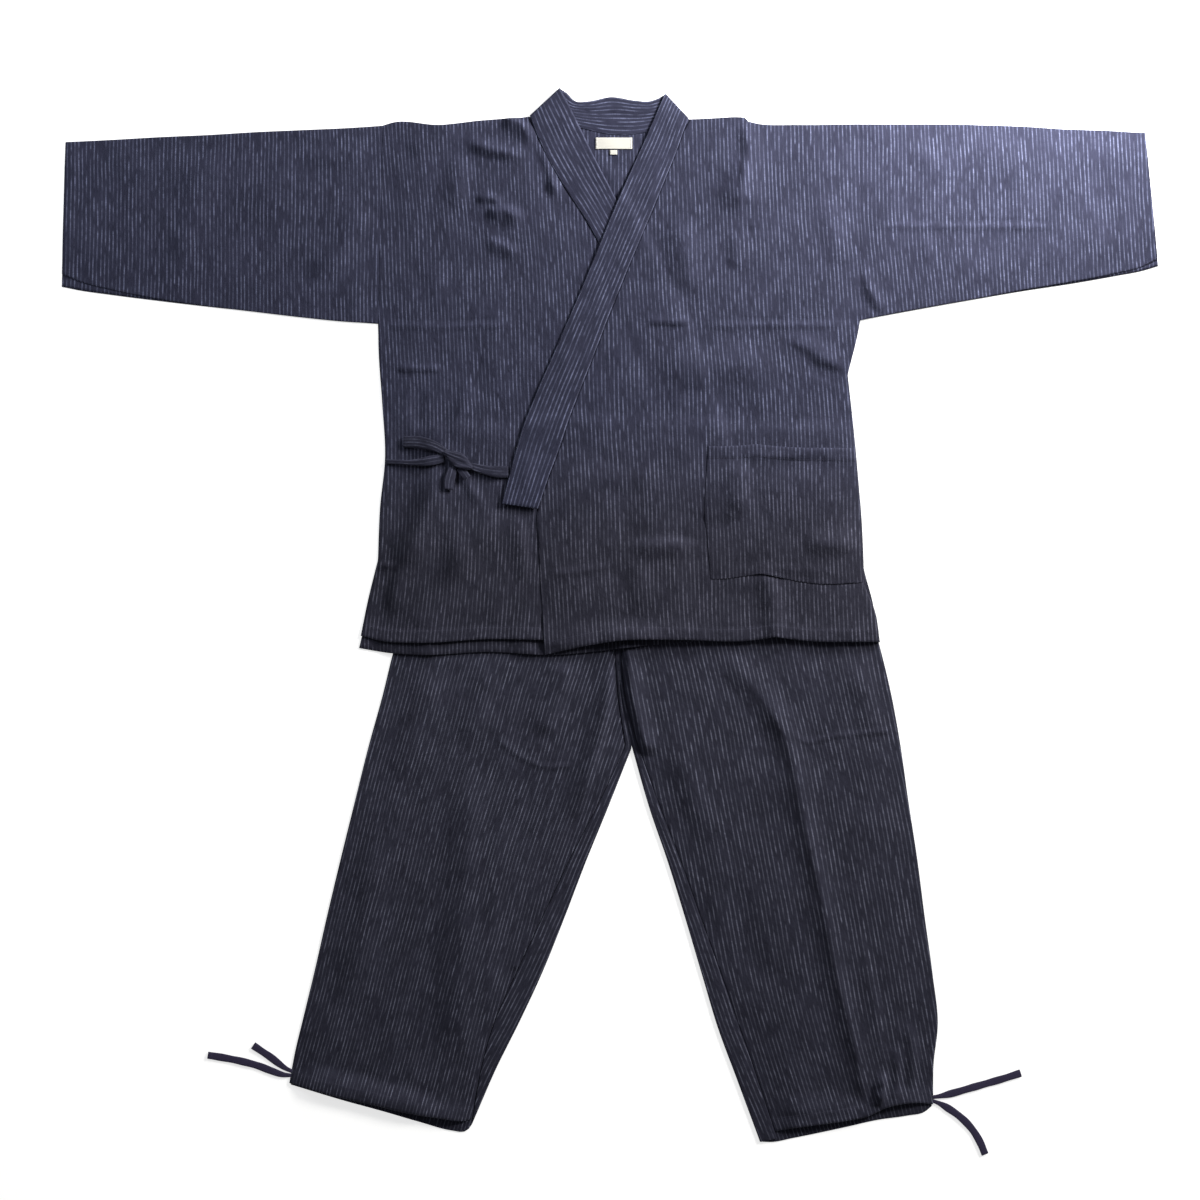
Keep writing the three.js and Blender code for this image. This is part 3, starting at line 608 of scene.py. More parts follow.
def sinking(away: Array, depth: float, reach: float, power: float = 1.0) -> Array:
    """How far stitches pull the cloth down: depth at the stitches and nothing from reach on."""
    return depth * np.clip(1 - away / reach, 0, 1) ** power


def hem_thickness(away: Array) -> Array:
    """What a doubled and stitched hem adds to one layer, at a distance from its edge."""
    return DOUBLED * smooth((HEM + 1.2 - away) / 1.8) - sinking(np.abs(away - HEM), SUNK, 1.4)


def rounded(away: Array, width: float) -> Array:
    """The quarter round of an edge: 0 at the edge and 1 from width on."""
    return np.sqrt(np.clip(1 - (1 - np.clip(away / width, 0, 1)) ** 2, 0, 1))


def lay_panel(pile: Pile, name: str, grid: Array, edges: Edges, drape: Drape, weave: Array) -> Sheet:
    """Lays a flat grid on the pile and records its top.

    Args:
        pile: What is laid already.
        name: The piece.
        grid: Its points, from the top down and from the wearer's right to the left.
        edges: How its sides end.
        drape: How it lies.
        weave: Where each point lies in the weave.

    Returns:
        The finished piece.
    """
    x, y = grid[..., 0], grid[..., 1]
    down, across = walked(grid, 0), walked(grid, 1)
    sides = (
        (edges.right, across), (edges.left, across[:, -1:] - across),
        (edges.top, down), (edges.bottom, down[-1:] - down),
    )
    support = pile.support(drape.over, grid, drape.reach) if drape.over else np.zeros_like(x)
    air = np.full_like(x, drape.loft)
    thick = np.full_like(x, drape.thick)
    for kind, away in sides:
        settled = smooth(away / SETTLE[kind])
        if kind is Edge.HEM:
            air *= HEM_LOFT + (1 - HEM_LOFT) * settled
            gape = smooth(across / GAPE) * smooth((across[:, -1:] - across) / GAPE)
            air += drape.mouth * (1 - smooth(away / GAPE)) * gape
            thick += hem_thickness(away)
        else:
            air *= settled
    step, size, depth = FINE_DENTS
    lift = relief((
        *drape.folds, Rumple(drape.seed, drape.dent_size, drape.dents),
        Rumple(drape.seed + step, drape.dent_size * size, drape.dents * depth),
    ), x, y)
    hold = np.ones_like(x)
    for kind, away in sides:
        if kind in (Edge.SEAM, Edge.TACKED):
            hold *= PINNED + (1 - PINNED) * smooth(away / drape.grip)
    under = support + (REST if drape.over else 0.0) + np.maximum(air + lift * hold, 0.0)
    top = under + thick
    for kind, away in sides:
        if kind is Edge.SEAM:
            top = top - np.where(y < drape.thin_below, sinking(away, *PRESSED_SINK), sinking(away, *SEAM_SINK))
        elif kind is Edge.TACKED:
            top = top - sinking(away, *TACKED_SINK)
        elif kind is Edge.FOLD:
            turn = rounded(away, ROLL)
            turn = np.where(y > edges.armhole, 1.0 - sinking(away, 0.1, 3.0, 2.0), turn)
            top = 0.5 + (top - 0.5) * turn
            under = np.minimum(under, np.maximum(top - drape.thick, 0.0) * np.where(turn < 1, turn, 1e3))
    outer, inner = with_z(grid, top), with_z(grid, under)
    pile.record(name, outer)
    return Sheet(outer, inner, weave)


@dataclass(frozen=True)
class Grain:
    """How the stripes of a panel lean.

    rows holds (y, lean at the first column, lean at the last column) from the top down. A lean is
    how far a stripe moves to +X for each millimetre down.
    """

    WANDER = ((1.4, 83, 190), (0.8, 37, 71))  # how far the stripes wander, and over which lengths

    rows: tuple[tuple[float, float, float], ...] = ((800.0, 0.0, 0.0), (-800.0, 0.0, 0.0))
    offset: float = 0.0

    def lay(self, grid: Array) -> Array:
        """Where each point lies in the weave.

        Args:
            grid: The points.

        Returns:
            An array [row, column, across or along] in millimetres.
        """
        x, y = grid[..., 0], grid[..., 1]
        table = np.asarray(self.rows, float)
        depths = np.linspace(table[0, 0], table[-1, 0], 300)
        reached = []
        for column in (1, 2):
            lean = np.interp(-depths, -table[:, 0], table[:, column])
            moved = np.concatenate([[0], np.cumsum((lean[1:] + lean[:-1]) / 2 * -np.diff(depths))])
            reached.append(np.interp(-y, -depths, moved))
        far = walked(grid[..., :2], 1)
        share = far / far[:, -1:]
        drift = sum(size * np.sin(y / down + x / over) for size, down, over in self.WANDER)
        across = x - reached[0] * (1 - share) - reached[1] * share + drift + self.offset
        return np.stack([across, y * 1.02], axis=2)


STRAIGHT = Grain()


# ---- meshes


def mesh_object(name: str, points: Array, faces: Sequence[Sequence[int]], weave: Array) -> Thing:
    """Writes a smooth mesh.

    Args:
        name: The object's name.
        points: The vertices in millimetres.
        faces: The vertices of each face.
        weave: Where each vertex lies in the weave, in millimetres.

    Returns:
        The new object, linked to the scene.
    """
    mesh = bpy.data.meshes.new(name)
    mesh.from_pydata((points * MM).tolist(), [], faces)
    corner = np.empty(len(mesh.loops), dtype=np.int32)
    mesh.loops.foreach_get("vertex_index", corner)
    layer = mesh.uv_layers.new(name="weave")
    layer.data.foreach_set("uv", (weave[corner] * MM).astype(np.float32).ravel())
    mesh.polygons.foreach_set("use_smooth", np.ones(len(mesh.polygons), dtype=bool))
    mesh.update()
    thing = bpy.data.objects.new(name, mesh)
    bpy.context.collection.objects.link(thing)
    return thing


BEVEL = 0.28  # share of its thickness by which a cloth's rim is rounded


def shell(name: str, sheet: Sheet) -> Thing:
    """Writes a cloth piece as a closed thin shell with soft edges.

    Args:
        name: The object's name.
        sheet: The piece.

    Returns:
        The new object.
    """
    outer, inner = sheet.outer.copy(), sheet.inner.copy()
    rim = np.zeros(outer.shape[:2], dtype=bool)
    rim[[0, -1], :] = True
    rim[:, [0, -1]] = True
    bevel = BEVEL * (inner[rim] - outer[rim])
    outer[rim] += bevel
    inner[rim] -= bevel
    rows, columns = outer.shape[:2]
    size = rows * columns
    index = np.arange(size).reshape(rows, columns)
    top = np.stack([index[:-1, :-1], index[1:, :-1], index[1:, 1:], index[:-1, 1:]], axis=-1).reshape(-1, 4)
    loop = np.concatenate([index[0, :-1], index[:-1, -1], index[-1, :0:-1], index[:0:-1, 0]])
    after = np.roll(loop, -1)
    sides = np.stack([loop, after, after + size, loop + size], axis=-1)
    faces = np.concatenate([top, top[:, ::-1] + size, sides])
    points = np.concatenate([outer.reshape(-1, 3), inner.reshape(-1, 3)])
    a, b, c, d = (points[faces[:, k]] for k in range(4))
    volume = np.einsum("ij,ij->", a, np.cross(b, c)) + np.einsum("ij,ij->", a, np.cross(c, d))
    if volume < 0:
        faces = faces[:, ::-1]
    weave = np.concatenate([sheet.weave.reshape(-1, 2)] * 2)
    return mesh_object(name, points, faces.tolist(), weave)


# ---- finishes


class Nodes:
    """Builds the nodes of one material."""

    def __init__(self, name: str) -> None:
        """Starts an empty material with a principled shader."""
        self.material = bpy.data.materials.new(name)
        self.material.use_nodes = True
        self.tree = self.material.node_tree
        self.tree.nodes.clear()
        self.output = self.tree.nodes.new("ShaderNodeOutputMaterial")
        self.shader = self.tree.nodes.new("ShaderNodeBsdfPrincipled")
        self.tree.links.new(self.shader.outputs["BSDF"], self.output.inputs["Surface"])

    def put(self, socket: Socket, value: object) -> None:
        """Sets a socket, or links it where the value is another socket."""
        if isinstance(value, Socket):
            self.tree.links.new(value, socket)
        else:
            socket.default_value = value

    def math(self, operation: str, *values: object) -> Socket:
        """A Math node.

        Args:
            operation: Its operation.
            values: Its inputs in order.

        Returns:
            Its result.
        """
        node = self.tree.nodes.new("ShaderNodeMath")
        node.operation = operation
        for socket, value in zip(node.inputs, values):
            self.put(socket, value)
        return node.outputs[0]

    def weave(self) -> tuple[Socket, Socket]:
        """Place in the weave in millimetres: across the stripes and along them."""
        source = self.tree.nodes.new("ShaderNodeUVMap")
        source.uv_map = "weave"
        parts = self.tree.nodes.new("ShaderNodeSeparateXYZ")
        self.put(parts.inputs[0], source.outputs["UV"])
        return self.math("MULTIPLY", parts.outputs[0], 1000.0), self.math("MULTIPLY", parts.outputs[1], 1000.0)

    def wave(self, value: object, length: float) -> Socket:
        """A sine wave from 0 to 1 along a value, length from crest to crest."""
        return self.math("MULTIPLY_ADD", self.math("SINE", self.math("MULTIPLY", value, math.tau / length)), 0.5, 0.5)

    def random(self, value: object) -> Socket:
        """A number from 0 to 1 that is drawn anew for each value."""
        node = self.tree.nodes.new("ShaderNodeTexWhiteNoise")
        node.noise_dimensions = "1D"
        self.put(node.inputs["W"], value)
        return node.outputs["Value"]

    def texture(self, dimensions: str, key: str, place: object, detail: float, rough: float) -> Socket:
        """A noise texture round 0.5, read at a place that goes into its input key."""
        node = self.tree.nodes.new("ShaderNodeTexNoise")
        node.noise_dimensions = dimensions
        for name, setting in ((key, place), ("Scale", 1.0), ("Detail", detail), ("Roughness", rough)):
            self.put(node.inputs[name], setting)
        return node.outputs["Fac"]

    def noise(self, place: tuple[Socket, Socket], size: Spot, detail: float = 2.0, rough: float = 0.5) -> Socket:
        """Smooth noise over the weave.

        Args:
            place: Across and along.
            size: Width and length of its grains.
            detail: How many finer layers it has.
            rough: How strong they are.

        Returns:
            A value round 0.5.
        """
        spot = self.tree.nodes.new("ShaderNodeCombineXYZ")
        for k in (0, 1):
            self.put(spot.inputs[k], self.math("DIVIDE", place[k], size[k]))
        return self.texture("2D", "Vector", spot.outputs[0], detail, rough)

    def ramp(self, value: object, low: object, high: object, start: float = 0.0, end: float = 1.0) -> Socket:
        """A soft step from start to end while value goes from low to high."""
        node = self.tree.nodes.new("ShaderNodeMapRange")
        node.interpolation_type = "SMOOTHSTEP"
        settings = {"Value": value, "From Min": low, "From Max": high, "To Min": start, "To Max": end}
        for key, setting in settings.items():
            self.put(node.inputs[key], setting)
        return node.outputs["Result"]

    def blend(self, share: object, first: object, second: object, kind: str = "MIX") -> Socket:
        """A mix of two colours, or one seen through the other where kind is MULTIPLY."""
        node = self.tree.nodes.new("ShaderNodeMix")
        node.data_type, node.blend_type = "RGBA", kind
        self.put(node.inputs["Factor"], share)
        for k, colour in ((6, first), (7, second)):
            self.put(node.inputs[k], (*colour, 1.0) if isinstance(colour, tuple) else colour)
        return node.outputs[2]

    def bump(self, height: object, depth_mm: float, before: Socket | None = None) -> Socket:
        """Relief of a height from 0 to 1 that is depth_mm deep, on top of the relief before it."""
        node = self.tree.nodes.new("ShaderNodeBump")
        node.inputs["Distance"].default_value = depth_mm * MM
        self.put(node.inputs["Height"], height)
        if before is not None:
            self.put(node.inputs["Normal"], before)
        return node.outputs["Normal"]

    def finish(self, colour: object, rough: object, normal: object, sheen: float, tint: Colour) -> Finish:
        """Fills the shader.

        Args:
            colour: Base colour.
            rough: Roughness.
            normal: Relief.
            sheen: Strength of the nap's sheen.
            tint: Its colour.

        Returns:
            The material.
        """
        settings = {
            "Base Color": colour, "Roughness": rough, "Normal": normal, "Sheen Weight": sheen,
            "Sheen Roughness": 0.45, "Sheen Tint": (*tint, 1.0), "Specular IOR Level": 0.18,
        }
        for key, setting in settings.items():
            self.put(self.shader.inputs[key], setting)
        return self.material


@dataclass(frozen=True)
class StripedCotton:
    """Slub cotton in plain weave. White yarns come to the face in broken dashes down each stripe."""

    name: str
    ground: Colour = (0.0098, 0.0108, 0.0246)
    heather: Colour = (0.0194, 0.0206, 0.0415)
    stripe: Colour = (0.110, 0.121, 0.196)
    pitch: float = 5.4  # from one stripe to the next, in millimetres
    line: float = 1.65  # width of a stripe
    dash: float = 36.0  # usual length of a dash
    cover: float = 0.41  # noise level from which the white yarn shows
    seed: float = 3.0
    painted_shade_tint: Colour = (1.0, 1.0, 1.0)  # painted shade: tint of the lower part, darker and warmer, standing in for the light that falls off there
    painted_shade_ramp: Spot = (60.0, 330.0)  # heights between which that painted shade gives way

    def make(self) -> Finish:
        """Builds the material."""
        n = Nodes(self.name)
        place = across, along = n.weave()
        wander = n.noise(place, (34.0, 60.0))
        white = self.dashes(n, n.math("DIVIDE", n.math("MULTIPLY_ADD", wander, 2.0, across), self.pitch), place)
        yarn = n.noise(place, (0.9, 11.0), 3.0, 0.6)
        cloud = n.noise(place, (40.0, 60.0), 3.0, 0.55)
        mixed = n.math("MULTIPLY_ADD", n.ramp(yarn, 0.36, 0.66), 0.6, n.math("MULTIPLY", n.ramp(cloud, 0.3, 0.7), 0.4))
        colour = n.blend(white, n.blend(mixed, self.ground, self.heather), self.stripe)
        # painted shade: the lower part of the cloth is tinted darker and warmer, standing in for weaker light there
        painted_shade_ramp = n.blend(n.ramp(along, *self.painted_shade_ramp), self.painted_shade_tint, (1.0, 1.0, 1.0))
        warp = n.math("SINE", n.math("MULTIPLY", across, math.tau / 0.52))
        weft = n.math("SINE", n.math("MULTIPLY", along, math.tau / 0.58))
        weave = n.math("MULTIPLY_ADD", n.math("MULTIPLY", warp, weft), 0.5, 0.5)
        nap, crumple = None, n.noise(place, (9.0, 13.0), 3.0, 0.55)
        for height, depth_mm in ((crumple, 0.7), (yarn, 0.10), (white, 0.07), (weave, 0.05)):
            nap = n.bump(height, depth_mm, nap)
        rough = n.math("MULTIPLY_ADD", yarn, 0.14, 0.78)
        return n.finish(n.blend(1.0, colour, painted_shade_ramp, "MULTIPLY"), rough, nap, 0.05, (0.75, 0.80, 1.0))

    def dashes(self, n: Nodes, count: Socket, place: tuple[Socket, Socket]) -> Socket:
        """White dashes down the stripes.

        Args:
            n: The material's nodes.
            count: Place across the cloth, counted in stripes.
            place: Place across and along the cloth.

        Returns:
            How much white shows, from 0 to 1.
        """
        key = n.math("MULTIPLY_ADD", n.math("FLOOR", count), 1.618, self.seed)
        luck, phase = n.random(key), n.random(n.math("ADD", key, 23.1))
        shift = n.math("MULTIPLY_ADD", n.random(n.math("ADD", key, 7.7)), 0.16, 0.42)
        start = n.math("MULTIPLY", phase, 900.0)
        broken, slub, fade = (
            n.texture("1D", "W", n.math("ADD", start, n.math("DIVIDE", place[1], length)), detail, rough)
            for length, detail, rough in ((self.dash, 2.0, 0.5), (6.0, 2.0, 0.6), (13.0, 3.0, 0.6))
        )
        patch = n.noise(place, (15.0, 46.0), 2.0, 0.55)
        level = n.math("MULTIPLY_ADD", luck, 0.10, self.cover - 0.05)
        shown = n.ramp(broken, n.math("SUBTRACT", level, 0.12), n.math("ADD", level, 0.11))
        width = n.math("MULTIPLY", n.math("MULTIPLY_ADD", slub, 0.8, 0.6), self.line / 2 / self.pitch)
        away = n.math("ABSOLUTE", n.math("SUBTRACT", n.math("FRACT", count), shift))
        body = n.math("SUBTRACT", 1.0, n.ramp(away, n.math("MULTIPLY", width, 0.35), n.math("MULTIPLY", width, 1.5)))
        beat = n.math("MULTIPLY_ADD", place[1], math.tau / 2.4, n.math("MULTIPLY", phase, 60.0))
        picks = n.math("MULTIPLY_ADD", n.math("SINE", beat), 0.16, 0.84)
        tone = n.math("MULTIPLY", n.ramp(fade, 0.28, 0.70, 0.45, 1.10), n.ramp(patch, 0.36, 0.64, 0.45, 1.05))
        strength = n.math("MULTIPLY", n.math("MULTIPLY_ADD", luck, 0.35, 0.65), tone)
        white = n.math("MULTIPLY", n.math("MULTIPLY", body, shown), n.math("MULTIPLY", picks, strength))
        return n.math("MINIMUM", white, 1.0)


@dataclass(frozen=True)
class TwillTape:
    """Flat cotton tape in a fine twill."""

    name: str = "drawstring_tape"
    dark: Colour = (0.012, 0.010, 0.026)
    light: Colour = (0.046, 0.038, 0.085)
    rib: float = 1.3

    def make(self) -> Finish:
        """Builds the material."""
        n = Nodes(self.name)
        place = across, along = n.weave()
        rib = n.wave(n.math("ADD", across, n.math("MULTIPLY", along, 0.8)), self.rib)
        fuzz = n.noise(place, (0.5, 2.5), 3.0, 0.6)
        tone = n.math("MULTIPLY_ADD", rib, 0.45, n.math("MULTIPLY", fuzz, 0.55))
        rough = n.math("MULTIPLY_ADD", fuzz, 0.2, 0.68)
        nap = n.bump(rib, 0.16, n.bump(fuzz, 0.12))
        return n.finish(n.blend(tone, self.dark, self.light), rough, nap, 0.2, (0.8, 0.75, 1.0))


@dataclass(frozen=True)
class LabelSatin:
    """White woven label, left bare."""

    name: str = "label_satin"
    bright: Colour = (0.47, 0.46, 0.42)
    shade: Colour = (0.38, 0.37, 0.335)

    def make(self) -> Finish:
        """Builds the material."""
        n = Nodes(self.name)
        place = n.weave()
        pick, fleck = n.wave(place[1], 0.42), n.noise(place, (2.2, 0.5))
        tone = n.math("MULTIPLY", n.math("ADD", pick, fleck), 0.5)
        rough = n.math("MULTIPLY_ADD", fleck, 0.2, 0.42)
        nap = n.bump(pick, 0.05, n.bump(fleck, 0.05))
        return n.finish(n.blend(tone, self.shade, self.bright), rough, nap, 0.1, (1.0, 1.0, 1.0))


@dataclass(frozen=True)
class Thread:
    """Sewing thread: two strands that twist round each other."""

    name: str
    dark: Colour
    light: Colour

    def make(self) -> Finish:
        """Builds the material."""
        n = Nodes(self.name)
        place = across, along = n.weave()
        twist = n.wave(n.math("ADD", n.math("MULTIPLY", across, 2.0), along), 0.7)
        rough = n.math("MULTIPLY_ADD", n.noise(place, (0.2, 0.9)), 0.2, 0.6)
        return n.finish(n.blend(twist, self.dark, self.light), rough, n.bump(twist, 0.05), 0.1, (0.8, 0.8, 1.0))


@dataclass(frozen=True)
class PaleFloor:
    """White matt surface of a light table: it glows a little, so that shadows on it stay pale."""

    name: str = "pale_floor"
    bright: Colour = (0.62, 0.62, 0.62)
    shade: Colour = (0.59, 0.59, 0.59)
    glow: float = 0.68

    def make(self) -> Finish:
        """Builds the material."""
        n = Nodes(self.name)
        place = n.tree.nodes.new("ShaderNodeTexCoord")
        grit = n.tree.nodes.new("ShaderNodeTexNoise")
        grit.inputs["Scale"].default_value = 3.0
        n.put(grit.inputs["Vector"], place.outputs["Object"])
        fac = grit.outputs["Fac"]
        n.put(n.shader.inputs["Emission Color"], (1.0, 1.0, 1.0, 1.0))
        n.put(n.shader.inputs["Emission Strength"], self.glow)
        rough = n.math("MULTIPLY_ADD", fac, 0.1, 0.8)
        return n.finish(n.blend(fac, self.bright, self.shade), rough, n.bump(fac, 0.2), 0.0, (1.0, 1.0, 1.0))


@dataclass
class Wardrobe:
    """Every finish, made once."""

    # the jacket's cloth carries painted shade: a darker, warmer tint on its lower part
    jacket: Finish = field(
        default_factory=StripedCotton("striped_cotton_jacket", painted_shade_tint=(0.88, 0.82, 0.71)).make
    )
    collar: Finish = field(default_factory=StripedCotton(
        "striped_cotton_collar", seed=91.0, pitch=5.6, dash=46.0, cover=0.38,
    ).make)
    tie: Finish = field(default_factory=StripedCotton(
        "striped_cotton_tie", seed=13.0, pitch=4.4, line=1.3, ground=(0.0082, 0.0086, 0.0185),
        heather=(0.0162, 0.0168, 0.0320), stripe=(0.060, 0.064, 0.098),
    ).make)
    trousers: Finish = field(default_factory=StripedCotton(
        "striped_cotton_trousers", seed=57.0, pitch=6.0, ground=(0.0115, 0.0118, 0.0225),
        heather=(0.0218, 0.0222, 0.0385), stripe=(0.134, 0.141, 0.196),
    ).make)
    tape: Finish = field(default_factory=TwillTape().make)
    label: Finish = field(default_factory=LabelSatin().make)
    navy_thread: Finish = field(
        default_factory=Thread("navy_thread", (0.008, 0.008, 0.018), (0.026, 0.026, 0.048)).make
    )
    white_thread: Finish = field(
        default_factory=Thread("white_thread", (0.55, 0.55, 0.56), (0.82, 0.82, 0.82)).make
    )


# ---- bench


@dataclass
class Bench:
    """What every sub-assembly shares: the pile, the finishes and the list of stitch lines."""

    pile: Pile = field(default_factory=Pile)
    finishes: Wardrobe = field(default_factory=Wardrobe)
    stitches: dict[str, list[Array]] = field(default_factory=dict)

    def place(self, thing: Thing, material: Finish, slot: str, nodes: Sequence[str] = ()) -> None:
        """Gives a piece its finish and its place in the frame.

        Args:
            thing: The piece.
            material: Its finish.
            slot: Not used.
            nodes: The solids that it stands for.
        """
        thing.data.materials.append(material)
        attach(thing, "root")
        if nodes:
            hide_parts(*nodes)
        LOG.info("%s: %d faces", thing.name, len(thing.data.polygons))

    def cloth(
        self, node: str, sheet: Sheet, material: Finish, rests_on: Sequence[str] = (), slot: str = "cloth",
    ) -> None:
        """Writes a cloth piece and gives it its finish.

        Args:
            node: The solid that it stands for.
            sheet: The piece.
            material: Its finish.
            rests_on: Not used.
            slot: Handed on to place.
        """
        thing = shell(f"{node}_cloth", sheet)
        self.place(thing, material, slot, (node,))

    def sew(self, group: str, route: Array) -> None:
        """Keeps a line of stitches, given as points on the cloth's surface."""
        self.stitches.setdefault(group, []).append(route)


def row_at(grid: Array, distance: float, from_start: bool) -> Array:
    """The line on a grid that runs across it at a distance from its first or last row.

    Args:
        grid: Points [row, column, axis].
        distance: Millimetres from the edge.
        from_start: True to measure from the first row.

    Returns:
        One point for each column.
    """
    ordered = grid if from_start else grid[::-1]
    far = walked(ordered, 0)
    line = [
        [np.interp(distance, far[:, column], ordered[:, column, axis]) for axis in range(3)]
        for column in range(grid.shape[1])
    ]
    return np.asarray(line)


# ---- trousers


@dataclass(frozen=True)
class Leg:
    """One leg: a back that lies flat and wraps over the inseam, and a front on top of it."""

    side: str
    rows: tuple[LegRow, ...]
    back_hem: Spots
    front_hem: Spots
    corner: Spot  # where the front's hem meets the wrapped strip
    grain: Grain
    seed: int
    folds: tuple[Fold, ...]
    wrap: float = 3.1  # height of the strip that wraps over
    narrower: float = 0.009  # how much the back keeps inside the front's outer edge, as a share

    def from_inner(self, distance: Array | float, drop: float = 0.0) -> Array:
        """Points at a distance from the inner edge of each section.

        Args:
            distance: How far from the inner edge, for each section.
            drop: How much lower the last point lies.

        Returns:
            One point for each section.
        """
        table = np.asarray(self.rows, float)
        outer, inner = table[:, :2], table[:, 2:4]
        length = np.linalg.norm(outer - inner, axis=1)
        points = inner + (outer - inner) * (np.broadcast_to(distance, length.shape) / length)[:, None]
        points[-1, 1] -= drop
        return points

    def back(self, bench: Bench) -> None:
        """Lays the back, flat on the floor, then round the inseam and over."""
        table = np.asarray(self.rows, float)
        outer, strip = table[:, :2], table[:, 4]
        turn, drop, end_drop = self.wrap / 2, self.back_hem[0][1], self.back_hem[-1][1]
        inset = outer + (self.from_inner(0.0) - outer) * self.narrower
        inset[-1, 1] -= drop

        def inner(distance: Array | float) -> Spline:
            """A line down the leg at a distance from its inner edge."""
            return Spline(self.from_inner(distance, end_drop), (CROTCH,))

        cut = Cut(
            Spline(inset), inner(turn), LegHem(inset[0], self.from_inner(turn)[0], ((0, 0), (1, 0)), 10),
            LegHem(inset[-1] + (0, drop), self.from_inner(turn)[-1], self.back_hem, 10),
        )
        down = stations([cut.right, cut.left], WIDE_PITCH, (0.7,), MARKS[Edge.HEM])
        over = stations([cut.top, cut.bottom], WIDE_PITCH, (0.7, 2.4), ())
        flat = cut.grid(down, over)
        face, back = [with_z(flat, 0.0)], [with_z(flat, CLOTH)]
        for angle in np.radians([-60, -25, 10, 50]):
            for skin, columns in ((0.0, face), (CLOTH, back)):
                line = inner(turn - (turn - 0.8 * skin) * math.cos(angle)).at(down)[:, None]
                columns.append(with_z(line, turn + (turn - skin) * math.sin(angle)))
        for share in (0.0, 0.12, 0.25, 0.4, 0.55, 0.7, 0.85, 0.96, 1.0):
            line = inner(turn + (strip - turn) * share).at(down)[:, None]
            dents = Rumple(7, 42, 0.4).height(line[..., 0], line[..., 1]) * (1 - share)
            high = np.maximum(self.wrap + dents + 0.35 * math.sin(math.pi * share), 2 * CLOTH + REST)
            face.append(with_z(line, high))
            back.append(with_z(line, high - CLOTH))
        sheet = Sheet(np.concatenate(face, axis=1), np.concatenate(back, axis=1), self.grain.lay(flat))
        count = flat.shape[1]
        wrap, far = sheet.outer[:, count:], walked(sheet.outer, 1)
        across = 900 + far[:, count:] - far[:, count - 1:count] + 0.03 * wrap[..., 1]
        sheet.weave = np.concatenate([sheet.weave, np.stack([across, wrap[..., 1] * 1.06], axis=2)], axis=1)
        name = f"leg_back_{self.side}"
        bench.pile.record(name, sheet.inner[:, :count])
        bench.cloth(name, sheet, bench.finishes.trousers)
        self.front(bench)
        bench.pile.record(name, wrap)

    def front(self, bench: Bench) -> None:
        """Lays the front on the back, beside the strip."""
        table = np.asarray(self.rows, float)
        outer, seam = table[:, :2], self.from_inner(table[:, 4] + SEAM)
        seam[-1] = self.corner
        hem = LegHem(outer[-1], seam[-1], self.front_hem, 11)
        outer[-1] = hem.at(np.array([0.0]))[0]
        cut = Cut(Spline(outer), Spline(seam, (CROTCH,)), LegHem(outer[0], seam[0], ((0, 0), (1, 0)), 11), hem)
        down = stations([cut.right, cut.left], FINE_PITCH, MARKS[Edge.SEAM], MARKS[Edge.HEM])
        over = stations([cut.top, cut.bottom], FINE_PITCH, MARKS[Edge.FOLD], MARKS[Edge.SEAM])
        grid = cut.grid(down, over)
        name, under = f"leg_front_{self.side}", (f"leg_back_{self.side}",)
        edges = Edges(Edge.FOLD, Edge.SEAM, Edge.SEAM, Edge.HEM)
        drape = Drape(under, 3.0, self.folds, self.seed, 0.8, 46.0, mouth=5.6, grip=7.0)
        sheet = lay_panel(bench.pile, name, grid, edges, drape, self.grain.lay(grid))
        bench.cloth(name, sheet, bench.finishes.trousers, under)
        bench.sew("stitching_trousers", row_at(sheet.outer, HEM, False)[2:-2])


RIGHT = Leg(
    "right", RIGHT_LEG,
    back_hem=((0, 2), (0.29, 14.5), (0.5, 22), (0.7, 30), (0.88, 36), (0.95, 35), (0.985, 26), (1, 13)),
    front_hem=((0, 0), (0.23, 4.5), (0.46, 6.5), (0.64, 9), (0.84, 8), (0.93, 7), (0.97, 5), (1, 0)),
    corner=(-193.0, -704.0),
    grain=Grain((
        (203, -0.25, -0.36), (-100, -0.25, -0.34), (-300, -0.25, -0.30), (-500, -0.25, -0.26), (-760, -0.26, -0.24),
    )),
    seed=11,
    folds=creases(
        (((8, -30), (4, -62), (-4, -130), (-15, -180), (-32, -235), (-52, -300)), 5.8, 10, 34, 0.5, 0.3),
        (((-192, -200), (-200, -380), (-208, -540), (-196, -655)), 3.6, 30, 48, 0.1, 0.2),
        (((-150, -250), (-161, -343), (-175, -539), (-165, -620)), 2.4, 36, 34),
        (((-138, -490), (-114, -497), (-88, -503)), 2.8, 9, 6, 0.4, 0.2),
        (((-320, -300), (-345, -430), (-372, -560)), 1.8, 34, 30),
        (((-250, -60), (-262, -130), (-290, -240)), 1.6, 34, 34),
        (((-165, -60), (-180, -130), (-205, -190)), 1.9, 26, 30),
        (((-60, -60), (-74, -120), (-96, -175)), 2.6, 20, 40, 0.1, 0.2),
        (((-430, -640), (-330, -665), (-240, -690)), 2.8, 20, 34, 0.0, 0.2),
        (((-161, -168), (-137, -189), (-98, -210), (-49, -210)), 0.9, 5, 7, 0.3, 0.1),
    ),
)
